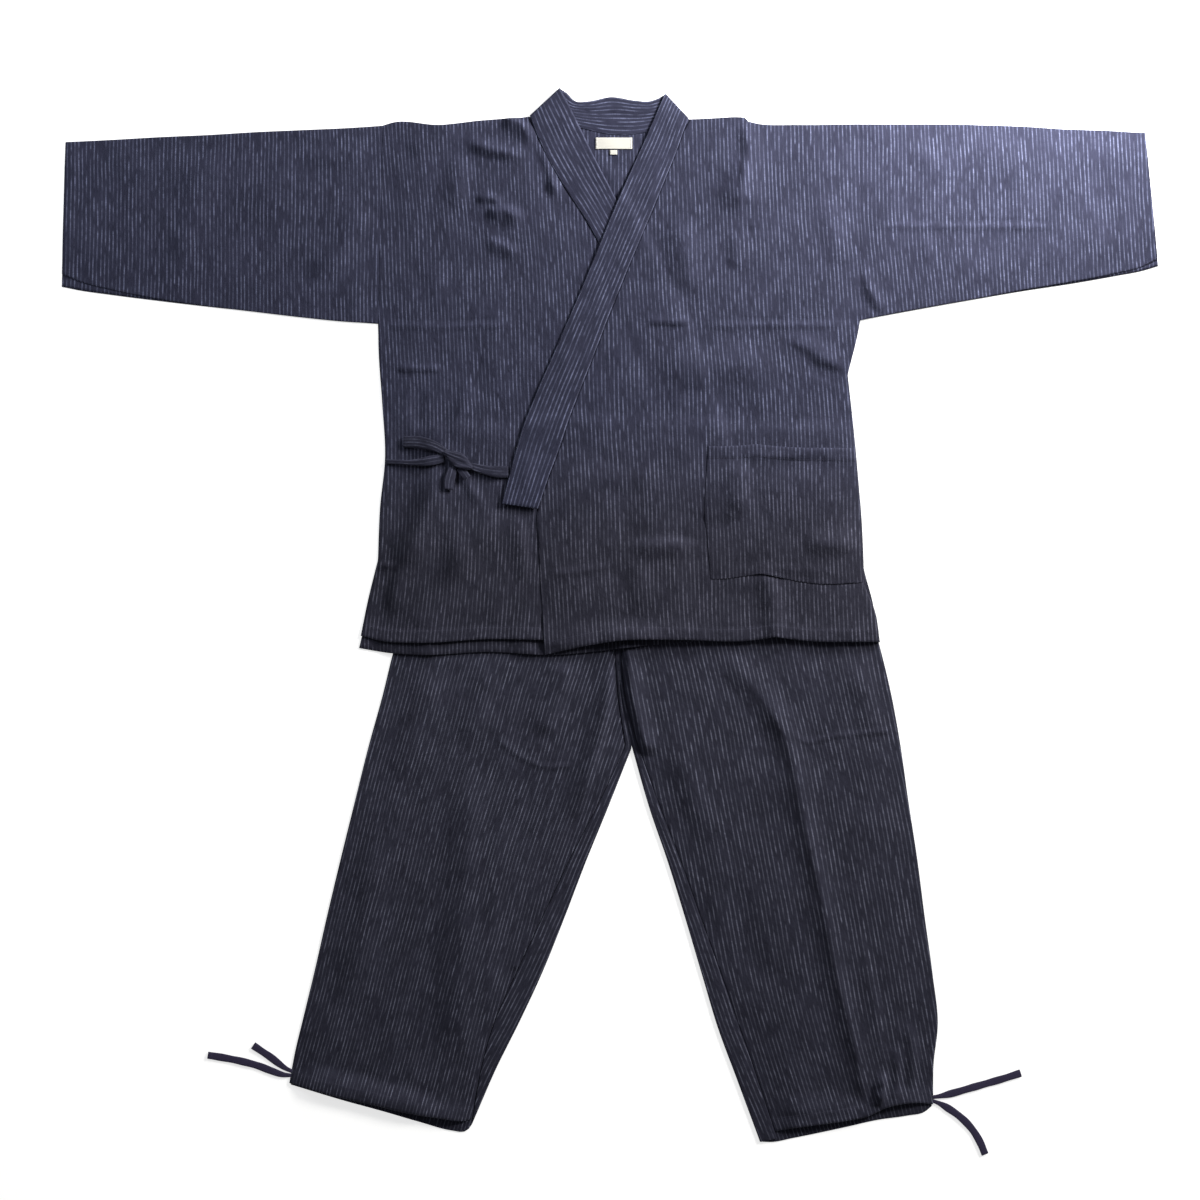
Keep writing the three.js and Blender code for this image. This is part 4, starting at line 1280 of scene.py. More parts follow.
LEFT = Leg(
    "left", LEFT_LEG,
    back_hem=((0, 0), (0.04, 6), (0.14, 6.5), (0.32, 4), (0.5, 5), (0.65, 5.5), (0.81, 5.5), (0.94, 5), (1, 1.5)),
    front_hem=(
        (0, -2), (0.1, -8.5), (0.22, -10.5), (0.3, -9), (0.36, -5), (0.42, -1), (0.49, 0), (0.56, 0),
        (0.76, -1), (0.9, -1.5), (1, 0),
    ),
    corner=(230.6, -723.0),
    grain=Grain((
        (203, 0.20, 0.17), (-100, 0.21, 0.20), (-450, 0.17, 0.20), (-600, 0.20, 0.28), (-760, 0.24, 0.42),
    )),
    seed=23,
    folds=creases(
        (
            (
                (210, -112), (231, -143), (241, -164), (252, -192), (266, -259), (283, -339), (294, -385), (304, -437),
                (318, -507), (333, -567), (346, -623), (353, -661), (364, -689),
            ),
            4.8, 38, 36, 1.0, 0.08,
        ),
        (((21, -36), (24, -75), (29, -115), (39, -155), (54, -200)), 5.4, 30, 9, 0.3, 0.12),
        (((150, -40), (172, -68), (196, -95), (222, -128), (246, -170)), 2.6, 34, 30, 0.4, 0.4),
        (((350, -430), (361, -500), (373, -560), (376, -620), (372, -660)), 2.2, 13, 34, 0.3, 0.4),
        (((384, -636), (381, -662), (377, -690)), 7.0, 8, 15, 0.2, 0.35),
        (((373, -650), (371, -662), (376, -678)), 1.8, 3.5, 4, 0.3, 0.3),
        (((398, -600), (402, -640), (398, -690)), 1.6, 9, 9),
        (((415, -560), (424, -620), (420, -680)), 2.0, 12, 12),
        (((248, -157), (266, -175), (318, -169), (395, -162)), 0.9, 6, 5, 0.3, 0.08),
        (((90, -180), (120, -260), (150, -330)), 1.9, 30, 30),
        (((160, -340), (190, -450), (215, -540)), -1.8, 32, 32),
        (((340, -60), (360, -120), (372, -180)), 1.8, 26, 30),
        (((225, -690), (290, -690), (350, -680)), 2.4, 26, 16),
    ),
)


@dataclass
class Trousers:
    """Two legs, and a plain waistband that the jacket hides."""

    legs: tuple[Leg, ...] = (RIGHT, LEFT)
    waist: float = 203.0  # height of the waistband's seam
    band: float = 40.0  # width of the waistband
    turn: float = 1.5  # half the thickness of the round at its side

    def build(self, bench: Bench) -> None:
        """Builds both legs and the waistband."""
        for leg in self.legs:
            leg.back(bench)
        self.waistband(bench)

    def waistband(self, bench: Bench) -> None:
        """Builds the waistband: one strip that goes round and meets itself at the side."""
        low, high = self.waist + SEAM, 2 * CLOTH + 0.8
        levels = np.linspace(low, low + self.band, 8)
        left, right = RIGHT_LEG[0].ox + self.turn + 0.6, LEFT_LEG[0].ox - self.turn
        flat, arc = np.linspace(left, right, 90), np.radians([-60, -25, 25, 60])
        faces = []
        for skin in (0.0, CLOTH):
            x = np.concatenate([flat, right + (self.turn - skin) * np.cos(arc), flat[::-1]])
            rise = high / 2 + (high / 2 - skin) * np.sin(arc)
            z = np.concatenate([np.full(90, skin), rise, np.full(90, high - skin)])
            faces.append(np.stack(np.broadcast_arrays(x[None], levels[:, None], z[None]), axis=2).astype(float))
        outer, inner = faces
        bench.pile.record("waistband", outer[:, len(flat) + len(arc):])
        weave = np.stack([walked(outer, 1), outer[..., 1]], axis=2)
        bench.cloth("waistband", Sheet(outer, inner, weave), bench.finishes.trousers)


# ---- jacket


@dataclass
class Jacket:
    """The back, the two fronts and the pocket."""

    right_grain: Grain = Grain((
        (740, 0.04, 0.05), (420, 0.06, 0.04), (300, 0.05, 0.02), (200, -0.02, -0.03), (130, -0.06, -0.07),
        (0, -0.12, -0.04), (-60, -0.10, -0.03),
    ))
    left_grain: Grain = Grain(((740, 0.02, 0.06), (400, 0.01, 0.07), (200, 0.04, 0.03), (-60, 0.04, 0.06)))
    pocket_grain: Grain = Grain(((240, 0.03, 0.03), (40, 0.04, 0.05)), 2.6)
    back_folds: tuple[Fold, ...] = creases(
        (((-20, 640), (10, 600), (20, 560)), 1.2, 20, 20),
        (((-250, -20), (-255, -56)), 1.4, 22, 22, 0.0, 0.0),
        (((-120, -20), (-115, -56)), 1.2, 26, 26, 0.0, 0.0),
    )
    right_folds: tuple[Fold, ...] = creases(
        (((-100, 668), (-92, 648), (-82, 626), (-78, 575)), 4.4, 22, 12, 0.2),
        (((-206, 664), (-170, 652), (-140, 646), (-114, 648)), 4.6, 15, 16, 0.3),
        (((-152, 694), (-126, 688), (-98, 670)), 4.8, 8, 26, 0.2, 0.25),
        (((-290, 648), (-250, 662), (-205, 684)), 2.6, 16, 22),
        (((-188, 580), (-170, 583), (-150, 577)), 3.4, 12, 10, 0.3),
        (((-176, 560), (-150, 566), (-120, 552)), 5.0, 12, 24, 0.3),
        (((-176, 524), (-150, 516), (-124, 502)), 3.0, 12, 22, 0.2),
        (((-196, 640), (-214, 600), (-216, 560)), 2.6, 22, 30, 0.1),
        (((-322, 411), (-240, 410), (-150, 412)), -0.8, 4, 3, 0.8, 0.15),
        (((-322, 404), (-240, 403), (-130, 405)), 0.9, 8, 6, 0.2, 0.15),
        (((-300, 345), (-268, 343), (-236, 345)), 2.2, 10, 5, 0.4, 0.2),
        (((-230, 214), (-242, 182), (-258, 140), (-279, 98), (-304, 52)), 6.6, 40, 34, 0.4, 0.3),
        (((-146, 166), (-176, 124), (-206, 86), (-248, 26)), 4.6, 34, 28, 0.4, 0.4),
        (((-326, 66), (-310, 70), (-297, 71)), 2.2, 6, 6, 0.5),
        (((-288, 76), (-300, 42), (-312, -4)), 3.0, 28, 8, 0.5, 0.4),
        (((-128, 138), (-122, 100), (-118, 40)), 2.4, 9, 22, 0.2),
        (((-225, 150), (-215, 95), (-208, 30)), 1.5, 26, 26),
        (((-160, 60), (-158, 10), (-150, -30)), 1.3, 24, 24),
        (((-210, 200), (-196, 178), (-180, 150)), 1.8, 10, 9, 0.2),
        (((-222, 245), (-214, 275), (-190, 330)), 2.0, 16, 20, 0.2),
        (((-262, 250), (-270, 290), (-268, 330)), -1.3, 16, 16),
        (((-170, 330), (-160, 380), (-150, 430)), 1.4, 24, 24),
        (((-250, 500), (-240, 450), (-244, 420)), 1.2, 26, 26),
    )
    left_folds: tuple[Fold, ...] = creases(
        (((186, 697), (191, 660), (193, 620), (190, 560)), 2.8, 30, 15, 0.5, 0.2),
        (((188, 650), (184, 605), (176, 555)), 4.6, 14, 38, 0.2, 0.35),
        (((98, 565), (104, 500), (112, 440)), 3.0, 26, 34, 0.1, 0.3),
        (((172, 540), (176, 515), (170, 480)), 1.8, 26, 14),
        (((185, 540), (192, 538), (201, 538)), -1.8, 5, 6, 0.5),
        (((140, 411), (240, 412), (347, 412)), -1.0, 4, 3, 0.8, 0.2),
        (((120, 404), (240, 405), (347, 405)), 1.1, 9, 6, 0.2, 0.2),
        (((338, 340), (305, 356), (268, 377), (240, 386)), 2.4, 14, 24, 0.4),
        (((336, 330), (300, 338), (270, 352)), -2.0, 14, 12),
        (((232, -32), (229, 0), (222, 44)), 3.2, 24, 20, 0.1, 0.0),
        (((-92, 57), (-31, 63), (8, 71)), 1.3, 7, 9, 0.3),
        (((20, 92), (70, 98), (134, 94)), 2.6, 14, 26, 0.2),
        (((62, 470), (100, 500), (150, 520)), 1.5, 26, 26),
        (((46, 352), (140, 347), (244, 352)), 3.2, 40, 44, 0.0, 0.3),
        (((50, 408), (84, 409), (116, 407)), 2.2, 12, 5, 0.4, 0.2),
        (((-20, 200), (20, 190), (70, 200)), 1.6, 24, 26),
        (((0, 120), (30, 60), (50, 0)), 1.3, 26, 26),
        (((110, 130), (118, 60), (112, 0)), -1.2, 24, 24),
        (((300, 600), (310, 540), (330, 480)), 1.6, 26, 26),
        (((345, 230), (320, 222), (290, 226)), 1.4, 14, 14),
        (((356, 30), (345, 12), (342, -20)), -2.0, 9, 9, 0.3),
    )
    pocket_folds: tuple[Fold, ...] = creases(
        (((175, 225), (215, 222), (330, 232)), 0.9, 10, 10),
        (((190, 214), (184, 180), (176, 140)), 2.4, 16, 34),
        (((264, 108), (300, 99), (348, 104)), 2.6, 26, 22, 0.1),
        (((160, 55), (240, 62), (330, 58)), 0.8, 12, 8),
    )

    def back(self, bench: Bench) -> None:
        """Lays the back over the trousers."""
        neck = (COLLAR_FOLD_RIGHT, *COLLAR_NECK[1:6], COLLAR_FOLD_LEFT)
        neckline = [(row.sx, row.sy + 2 * LAP) for row in neck]
        shoulder = Hemline(RIGHT_SHOULDER, (-318, -111), (4,)).at(np.arange(4.0))
        other = Hemline(LEFT_SHOULDER, (109, 350), (4,)).at(np.arange(1.0, 5.0))
        tuck = 1.8
        shoulder[:, 1] -= tuck
        other[:, 1] -= tuck
        top = Spline([*shoulder, *neckline, *other], corners=(4, 10))
        right = np.asarray(BACK_RIGHT, float)
        left = np.asarray(BACK_LEFT, float)
        right[0], left[0] = shoulder[0], other[-1]
        right[6:, 0] += tuck
        left[6:, 0] -= tuck
        bottom = Hemline(BACK_HEM, (-353 + tuck, -121, 120, 378 - tuck), (4, 6, 4))
        right[-1], left[-1] = bottom.at(np.array([0.0, 14.0]))
        cut = Cut(Spline(right), Spline(left), top, bottom)
        down = stations([cut.right, cut.left], WIDE_PITCH, MARKS[Edge.SEAM], MARKS[Edge.HEM])
        over = stations([cut.top, cut.bottom], WIDE_PITCH, MARKS[Edge.SEAM], MARKS[Edge.SEAM])
        grid = cut.grid(down, over)
        sheet = lay_panel(
            bench.pile, "jacket_back", grid, Edges(Edge.SEAM, Edge.SEAM, Edge.SEAM, Edge.HEM),
            Drape(TROUSERS, 0.0, self.back_folds, 31, 0.35, 50.0), STRAIGHT.lay(grid),
        )
        bare = bench.pile.support(TROUSERS, grid) < 0.01  # where no trousers hold the back off the floor
        drop = np.where(bare, sheet.inner[..., 2], 0.0)
        drop = drop * smooth((grid[..., 1] + 20) / 60) * smooth((620 - grid[..., 1]) / 60)
        sheet.inner[..., 2] -= drop
        sheet.outer[..., 2] -= drop
        bench.pile.maps.pop("jacket_back")
        bench.pile.record("jacket_back", sheet.outer)
        bench.cloth("jacket_back", sheet, bench.finishes.jacket, TROUSERS)
        bench.sew("stitching_jacket", row_at(sheet.outer, HEM, False)[2:-2])

    def right_front(self, bench: Bench) -> None:
        """Lays the right front over the back."""
        seam = (COLLAR_FOLD_RIGHT, *COLLAR_RIGHT[::-1])
        left = [[row.sx - SEAM, row.sy] for row in seam] + [list(point) for point in RIGHT_FRONT_EDGE]
        left[0][0] -= BAND + 0.4
        top = Hemline(RIGHT_SHOULDER, (-318, left[0][0]), (12,))
        left[0][1] = float(top.at(np.array([12.0]))[0, 1])
        bottom = Hemline(RIGHT_FRONT_HEM, (-349, 122), (12,))
        cut = Cut(Spline(RIGHT_FRONT_SIDE, (11,)), Spline(left, (1, 11)), top, bottom)
        self.front(bench, "jacket_front_right", cut, Edges(Edge.FOLD, Edge.SEAM, Edge.FOLD, Edge.HEM, ARMHOLE_Y), Drape(
            (*TROUSERS, "jacket_back"), 1.7, self.right_folds, 41, 0.75, 40.0, mouth=0.6,
        ), self.right_grain)

    def left_front(self, bench: Bench) -> Cut:
        """Lays the left front over everything and returns its cut for the pocket."""
        seam = (COLLAR_FOLD_LEFT, *COLLAR_LEFT)
        right = [[row.sx + SEAM, row.sy] for row in seam] + [list(point) for point in LEFT_FRONT_EDGE]
        right[0][0] += BAND + 0.4
        top = Hemline(LEFT_SHOULDER, (right[0][0], 208, 350), (6, 6))
        right[0][1] = float(top.at(np.array([0.0]))[0, 1])
        bottom = Hemline(LEFT_FRONT_HEM, (-91, 160, 378), (6, 6))
        cut = Cut(Spline(right, (1, 12)), Spline(LEFT_FRONT_SIDE, (7, 13)), top, bottom)
        self.front(bench, "jacket_front_left", cut, Edges(Edge.SEAM, Edge.FOLD, Edge.FOLD, Edge.HEM, ARMHOLE_Y), Drape(
            (*TROUSERS, "jacket_back", "jacket_front_right", "collar_under"), 1.7, self.left_folds, 43, 0.75, 40.0,
            mouth=2.0, thin_below=92.0,
        ), self.left_grain)
        return cut

    def front(self, bench: Bench, name: str, cut: Cut, edges: Edges, drape: Drape, leaning: Grain) -> None:
        """Lays one front.

        Args:
            bench: The bench.
            name: The solid that it stands for.
            cut: Its four edges.
            edges: How they end.
            drape: How it lies.
            leaning: How its stripes lean.
        """
        down = stations([cut.right, cut.left], PITCH, MARKS[edges.top], MARKS[edges.bottom])
        over = stations([cut.top, cut.bottom], PITCH, MARKS[edges.right], MARKS[edges.left])
        grid = cut.grid(down, over)
        sheet = lay_panel(bench.pile, name, grid, edges, drape, leaning.lay(grid))
        bench.cloth(name, sheet, bench.finishes.jacket, drape.over[5:6])
        bench.sew("stitching_jacket", row_at(sheet.outer, HEM, False)[2:-2])

    def pocket(self, bench: Bench, front: Cut) -> None:
        """Lays the patch pocket on the left front's own grid.

        Args:
            bench: The bench.
            front: The left front's cut.
        """
        first, last, rim = (9.0, 6.0), (13.0, 11.93), 0.012  # corners and rim in the front's own rows and columns
        stitched = [9.42, 9.45]  # the row of stitches under the mouth
        rows, columns = np.linspace(first[0], last[0], 46), np.linspace(first[1], last[1], 52)
        rows = np.sort(np.concatenate([rows, [first[0] + rim, last[0] - rim], stitched]))
        columns = np.sort(np.concatenate([columns, [first[1] + rim * 1.5, last[1] - rim * 1.5]]))
        grid = front.grid(rows, columns)
        sag = smooth((90 - grid[..., 1]) / 50)
        grid[..., 1] += 3.0 * np.sin(grid[..., 0] / 27.0) * sag
        sheet = lay_panel(
            bench.pile, "pocket", grid, Edges(Edge.TACKED, Edge.TACKED, Edge.HEM, Edge.TACKED),
            Drape(("jacket_front_left",), 1.2, self.pocket_folds, 61, 0.4, 34.0, 1.0, reach=1),
            self.pocket_grain.lay(grid),
        )
        bench.cloth("pocket", sheet, bench.finishes.jacket, ("jacket_front_left",))
        top = sheet.outer
        edge = np.concatenate([top[1:, 0] + (2.0, 0, 0), top[-1, 1:-1] + (0, 2.0, 0), top[::-1, -1][:-1] - (2.0, 0, 0)])
        bench.sew("stitching_jacket", edge)
        bench.sew("stitching_jacket", row_at(top, HEM, True)[1:-1])


# ---- collar


class UnderCollar(NamedTuple):
    """The faces of the band round the neck and on the right front."""

    neck_low: Array
    neck_high: Array
    low: Array
    high: Array


@dataclass
class Collar:
    """One band: up the right front, folded over at the shoulder, open round the neck with its inner
    face up, folded again, and down the left front over everything."""

    columns: int = 15
    width: float = 52.0
    neck_folds: tuple[Fold, ...] = creases(
        (((-45, 702), (-10, 703), (20, 698), (60, 700)), -1.3, 4, 5, 0.5),
        (((-50, 711), (-15, 711), (30, 708), (58, 710)), 1.0, 5, 5, 0.3),
        (((-20, 690), (20, 686), (60, 690)), 0.9, 6, 5, 0.2),
    )
    over_folds: tuple[Fold, ...] = creases(
        (((70, 640), (60, 610), (52, 570)), 0.8, 12, 12),
        (((-110, 230), (-118, 200), (-128, 170)), 0.9, 14, 14),
        (((-40, 400), (-60, 372), (-70, 340)), 0.6, 12, 12),
    )
    shares: Array = field(init=False)

    def __post_init__(self) -> None:
        """Spaces the columns across the band."""
        self.shares = np.array([0.0, 0.015, 0.05, *np.linspace(0.12, 0.88, self.columns - 6), 0.95, 0.985, 1.0])

    def band(self, rows: Sequence[Band], pitch: float) -> Array:
        """A fine flat grid along some rows of the collar.

        Args:
            rows: The rows.
            pitch: Spacing along it.

        Returns:
            Points [row, column, x or y].
        """
        table = np.asarray(rows, float)
        sewn, free = Spline(table[:, :2]), Spline(table[:, 2:])
        t = stations([sewn, free], pitch, (1.0,), (1.0,))
        return sewn.at(t)[:, None] * (1 - self.shares[None, :, None]) + free.at(t)[:, None] * self.shares[None, :, None]

    def shape(self, grid: Array, base: Array, folds: tuple[Fold, ...], seed: int) -> tuple[Array, Array]:
        """The lower and upper face of the band over a flat grid.

        Args:
            grid: Flat points.
            base: Height that it rests at.
            folds: Its folds.
            seed: Number of its dents.

        Returns:
            The lower and the upper face.
        """
        lift = relief((*folds, Rumple(seed, 60, 0.3)), grid[..., 0], grid[..., 1])
        crown = 0.5 * np.sin(math.pi * np.clip(self.shares, 0, 1))[None, :] ** 0.5
        low = base + np.maximum(lift + 0.3, 0)
        return with_z(grid, low), with_z(grid, low + BAND - 0.5 + crown)

    def roll(self, row: Band, outwards: float, top: float, downwards: bool) -> tuple[Array, Array]:
        """The round of a shoulder fold.

        Args:
            row: The fold.
            outwards: The side on which it looks out.
            top: Height of the upper face beside it.
            downwards: True where the band comes from above and goes under.

        Returns:
            The face and the back of the band round the fold.
        """
        sewn, free = np.array([row.sx, row.sy]), np.array([row.fx, row.fy])
        line = sewn * (1 - self.shares[:, None]) + free * self.shares[:, None]
        normal = outwards * np.array([row.fy - row.sy, row.sx - row.fx], float)
        normal = normal / np.linalg.norm(normal)
        angles = np.radians([80, 50, 20, -15, -50, -80])[::1 if downwards else -1]
        middle = top / 2
        centre = line + normal * (BAND - middle)
        faces = []
        for radius in (middle, max(middle - BAND + 0.5, 0.25)):
            faces.append(np.asarray([
                with_z((centre + normal * math.cos(angle) * radius)[None], middle + radius * math.sin(angle))[0]
                for angle in angles
            ]))
        return faces[0], faces[1]

    def lay_under(self, bench: Bench) -> UnderCollar:
        """Lays the part round the neck and the part on the right front."""
        pile = bench.pile
        neck, under = self.band(COLLAR_NECK, 4.0), self.band(COLLAR_RIGHT, 5.0)
        neck_low, neck_high = self.shape(neck, np.zeros(neck.shape[:2]), self.neck_folds, 71)
        pile.record("collar_neck", neck_high)
        low, high = self.shape(under, pile.support(("jacket_back", "collar_neck"), under, 2) + REST, (), 73)
        pile.record("collar_under", high)
        return UnderCollar(neck_low, neck_high, low, high)

    def finish(self, bench: Bench, under: UnderCollar) -> None:
        """Lays the part on the left front and joins the whole band.

        Args:
            bench: The bench.
            under: The part that is laid already.
        """
        pile = bench.pile
        over = self.band(COLLAR_LEFT, 4.2)
        base = pile.support(("jacket_back", "jacket_front_right", "collar_under", "collar_neck"), over, 3) + REST
        lift = 2.2 * smooth((260 - over[..., 1]) / 110)
        low, high = self.shape(over, base + lift, self.over_folds, 79)
        pile.record("collar_over", high)
        right_face, right_back = self.roll(COLLAR_FOLD_RIGHT, -1, float(under.high[-1, :, 2].mean()), True)
        left_face, left_back = self.roll(COLLAR_FOLD_LEFT, 1, float(high[0, :, 2].mean()), False)
        face = np.concatenate([under.high, right_face, under.neck_low, left_face, high])
        back = np.concatenate([under.low, right_back, under.neck_high, left_back, low])
        far = walked((face + back) / 2, 0).mean(axis=1)
        weave = np.stack(np.broadcast_arrays(self.width * self.shares[None] + 1.2, far[:, None]), axis=2)
        bench.cloth("collar", Sheet(face, back, weave), bench.finishes.collar, ("jacket_back", "jacket_front_right"))
        for share, column in ((0.035, 2), (0.965, -3)):
            route = high[:, 0] * (1 - share) + high[:, -1] * share
            route[:, 2] = high[:, column, 2]
            bench.sew("stitching_jacket", route)


# ---- sleeves


@dataclass
class Sleeves:
    """Each sleeve is one cut, folded along its top and sewn along its lower edge."""

    turn: float = 1.9  # half the thickness of the fold
    loft: float = 2.4
    short: float = 1.4  # how far the lower layer ends before the seam
    left_grain: Grain = Grain(((1200, 0, 0), (700, 0.04, 0.04), (600, 0.04, 0.04), (480, 0.09, 0.09), (200, 0, 0)))
    right_folds: tuple[Fold, ...] = creases(
        (((-335, 575), (-370, 520), (-425, 468)), 2.6, 26, 30),
        (((-560, 655), (-580, 570), (-605, 480)), 1.8, 40, 34),
        (((-690, 640), (-700, 560), (-715, 480)), -1.4, 34, 30),
        (((-440, 660), (-470, 600), (-480, 540)), 1.4, 34, 34),
        (((-330, 655), (-380, 640), (-450, 650)), 1.4, 18, 18),
    )
    left_folds: tuple[Fold, ...] = creases(
        (((350, 494), (355, 472), (364, 450), (378, 430), (392, 420)), 3.0, 18, 11, 0.5),
        (((352, 551), (470, 550), (640, 549)), -0.9, 4, 3, 0.7, 0.2),
        (((352, 544), (470, 543), (640, 542)), 1.2, 9, 6, 0.2, 0.2),
        (((441, 530), (444, 512), (440, 495)), 1.6, 9, 9, 0.3),
        (((560, 660), (572, 590), (590, 500)), 1.5, 36, 34),
        (((420, 670), (440, 640), (480, 610)), 1.4, 26, 26),
        (((680, 650), (690, 580), (705, 510)), -1.2, 30, 30),
    )

    def build(self, bench: Bench) -> None:
        """Builds both sleeves."""
        self.sleeve(bench, "sleeve_right", RIGHT_SLEEVE, self.right_folds, STRAIGHT, 81)
        self.sleeve(bench, "sleeve_left", LEFT_SLEEVE, self.left_folds, self.left_grain, 85)

    def sleeve(
        self, bench: Bench, name: str, rows: Sequence[SleeveRow], folds: tuple[Fold, ...], leaning: Grain, seed: int,
    ) -> None:
        """Builds one sleeve.

        Args:
            bench: The bench.
            name: The solid that it stands for.
            rows: Its sections from the armhole to the cuff.
            folds: The folds of its upper layer.
            leaning: How its stripes lean.
            seed: Number of its dents.
        """
        t = stations([Spline([(row.x, row.top) for row in rows])], PITCH, MARKS[Edge.SEAM], MARKS[Edge.HEM])
        x, xl, top, low, under = Spline(rows).at(t).T
        start, end = np.stack([x, top], axis=1), np.stack([xl, under], axis=1)
        length = np.linalg.norm(end - start, axis=1)[:, None]
        direction = (end - start) / length
        upper_length = length * ((top - low) / (top - under))[:, None]
        turn, seat = self.turn, CLOTH + REST

        def place(distance: Array) -> Array:
            """Points at a distance from the fold, for each section."""
            return start[:, None] + direction[:, None] * distance[..., None]

        lower = place(turn + (length - self.short - turn) * (1 - np.linspace(0, 1, 46)[None]))
        across = np.concatenate([np.linspace(0, 1, 60), 1 - np.array([0.9, 2.2, 0.25]) / 250])
        upper = place(turn + (upper_length - turn) * np.sort(across)[None])
        armhole, from_fold = walked(upper, 0), walked(upper, 1)
        cuff, from_low = armhole[-1:] - armhole, from_fold[:, -1:] - from_fold
        air = self.loft * smooth(armhole / 60) * smooth((from_fold + 3) / 50) * smooth(from_low / 50)
        air = air * (0.7 + 0.3 * smooth(cuff / 50))
        lift = relief((*folds, Rumple(seed, 42, 0.65), Rumple(seed + 3, 14, 0.16)), upper[..., 0], upper[..., 1])
        hold = (PINNED + (1 - PINNED) * smooth(armhole / 14)) * smooth(from_fold / 14) * smooth(from_low / 10)
        upper_low = seat + np.maximum(air + lift * hold, 0.0)
        upper_high = upper_low + CLOTH + hem_thickness(cuff) - sinking(armhole, *SEAM_SINK)
        lip = seat + 0.35
        upper_high = lip + (upper_high - lip) * rounded(from_low, 3.0)
        upper_low = np.minimum(upper_low, np.maximum(upper_high - CLOTH, seat))

        middle = upper_high[:, :1] / 2
        angles = np.radians([-60, -25, 10, 45, 75])
        faces = []
        for skin, heights in ((0.0, upper_high), (CLOTH, upper_low)):
            arc = place(turn - (turn - 0.8 * skin) * np.cos(angles)[None] + 0 * length)
            rise = middle + (middle - skin) * np.sin(angles)
            faces.append(np.concatenate([with_z(lower, skin), with_z(arc, rise), with_z(upper, heights)], axis=1))
        outer, inner = faces
        far, count = walked(outer, 1), lower.shape[1]
        along = top[:, None] - (far - far[:, count + 2:count + 3])
        weave = leaning.lay(np.stack([outer[..., 0], along], axis=2))
        bench.pile.record(name, outer[:, count + len(angles):])
        bench.cloth(name, Sheet(outer, inner, weave), bench.finishes.jacket)
        bench.sew("stitching_jacket", row_at(with_z(upper, upper_high), HEM, False)[2:-2])


# ---- tie


class StrapRow(NamedTuple):
    """A point on the middle of a strap, the strap's width there and its lift off the cloth."""

    x: float
    y: float
    width: float
    lift: float = 0.0


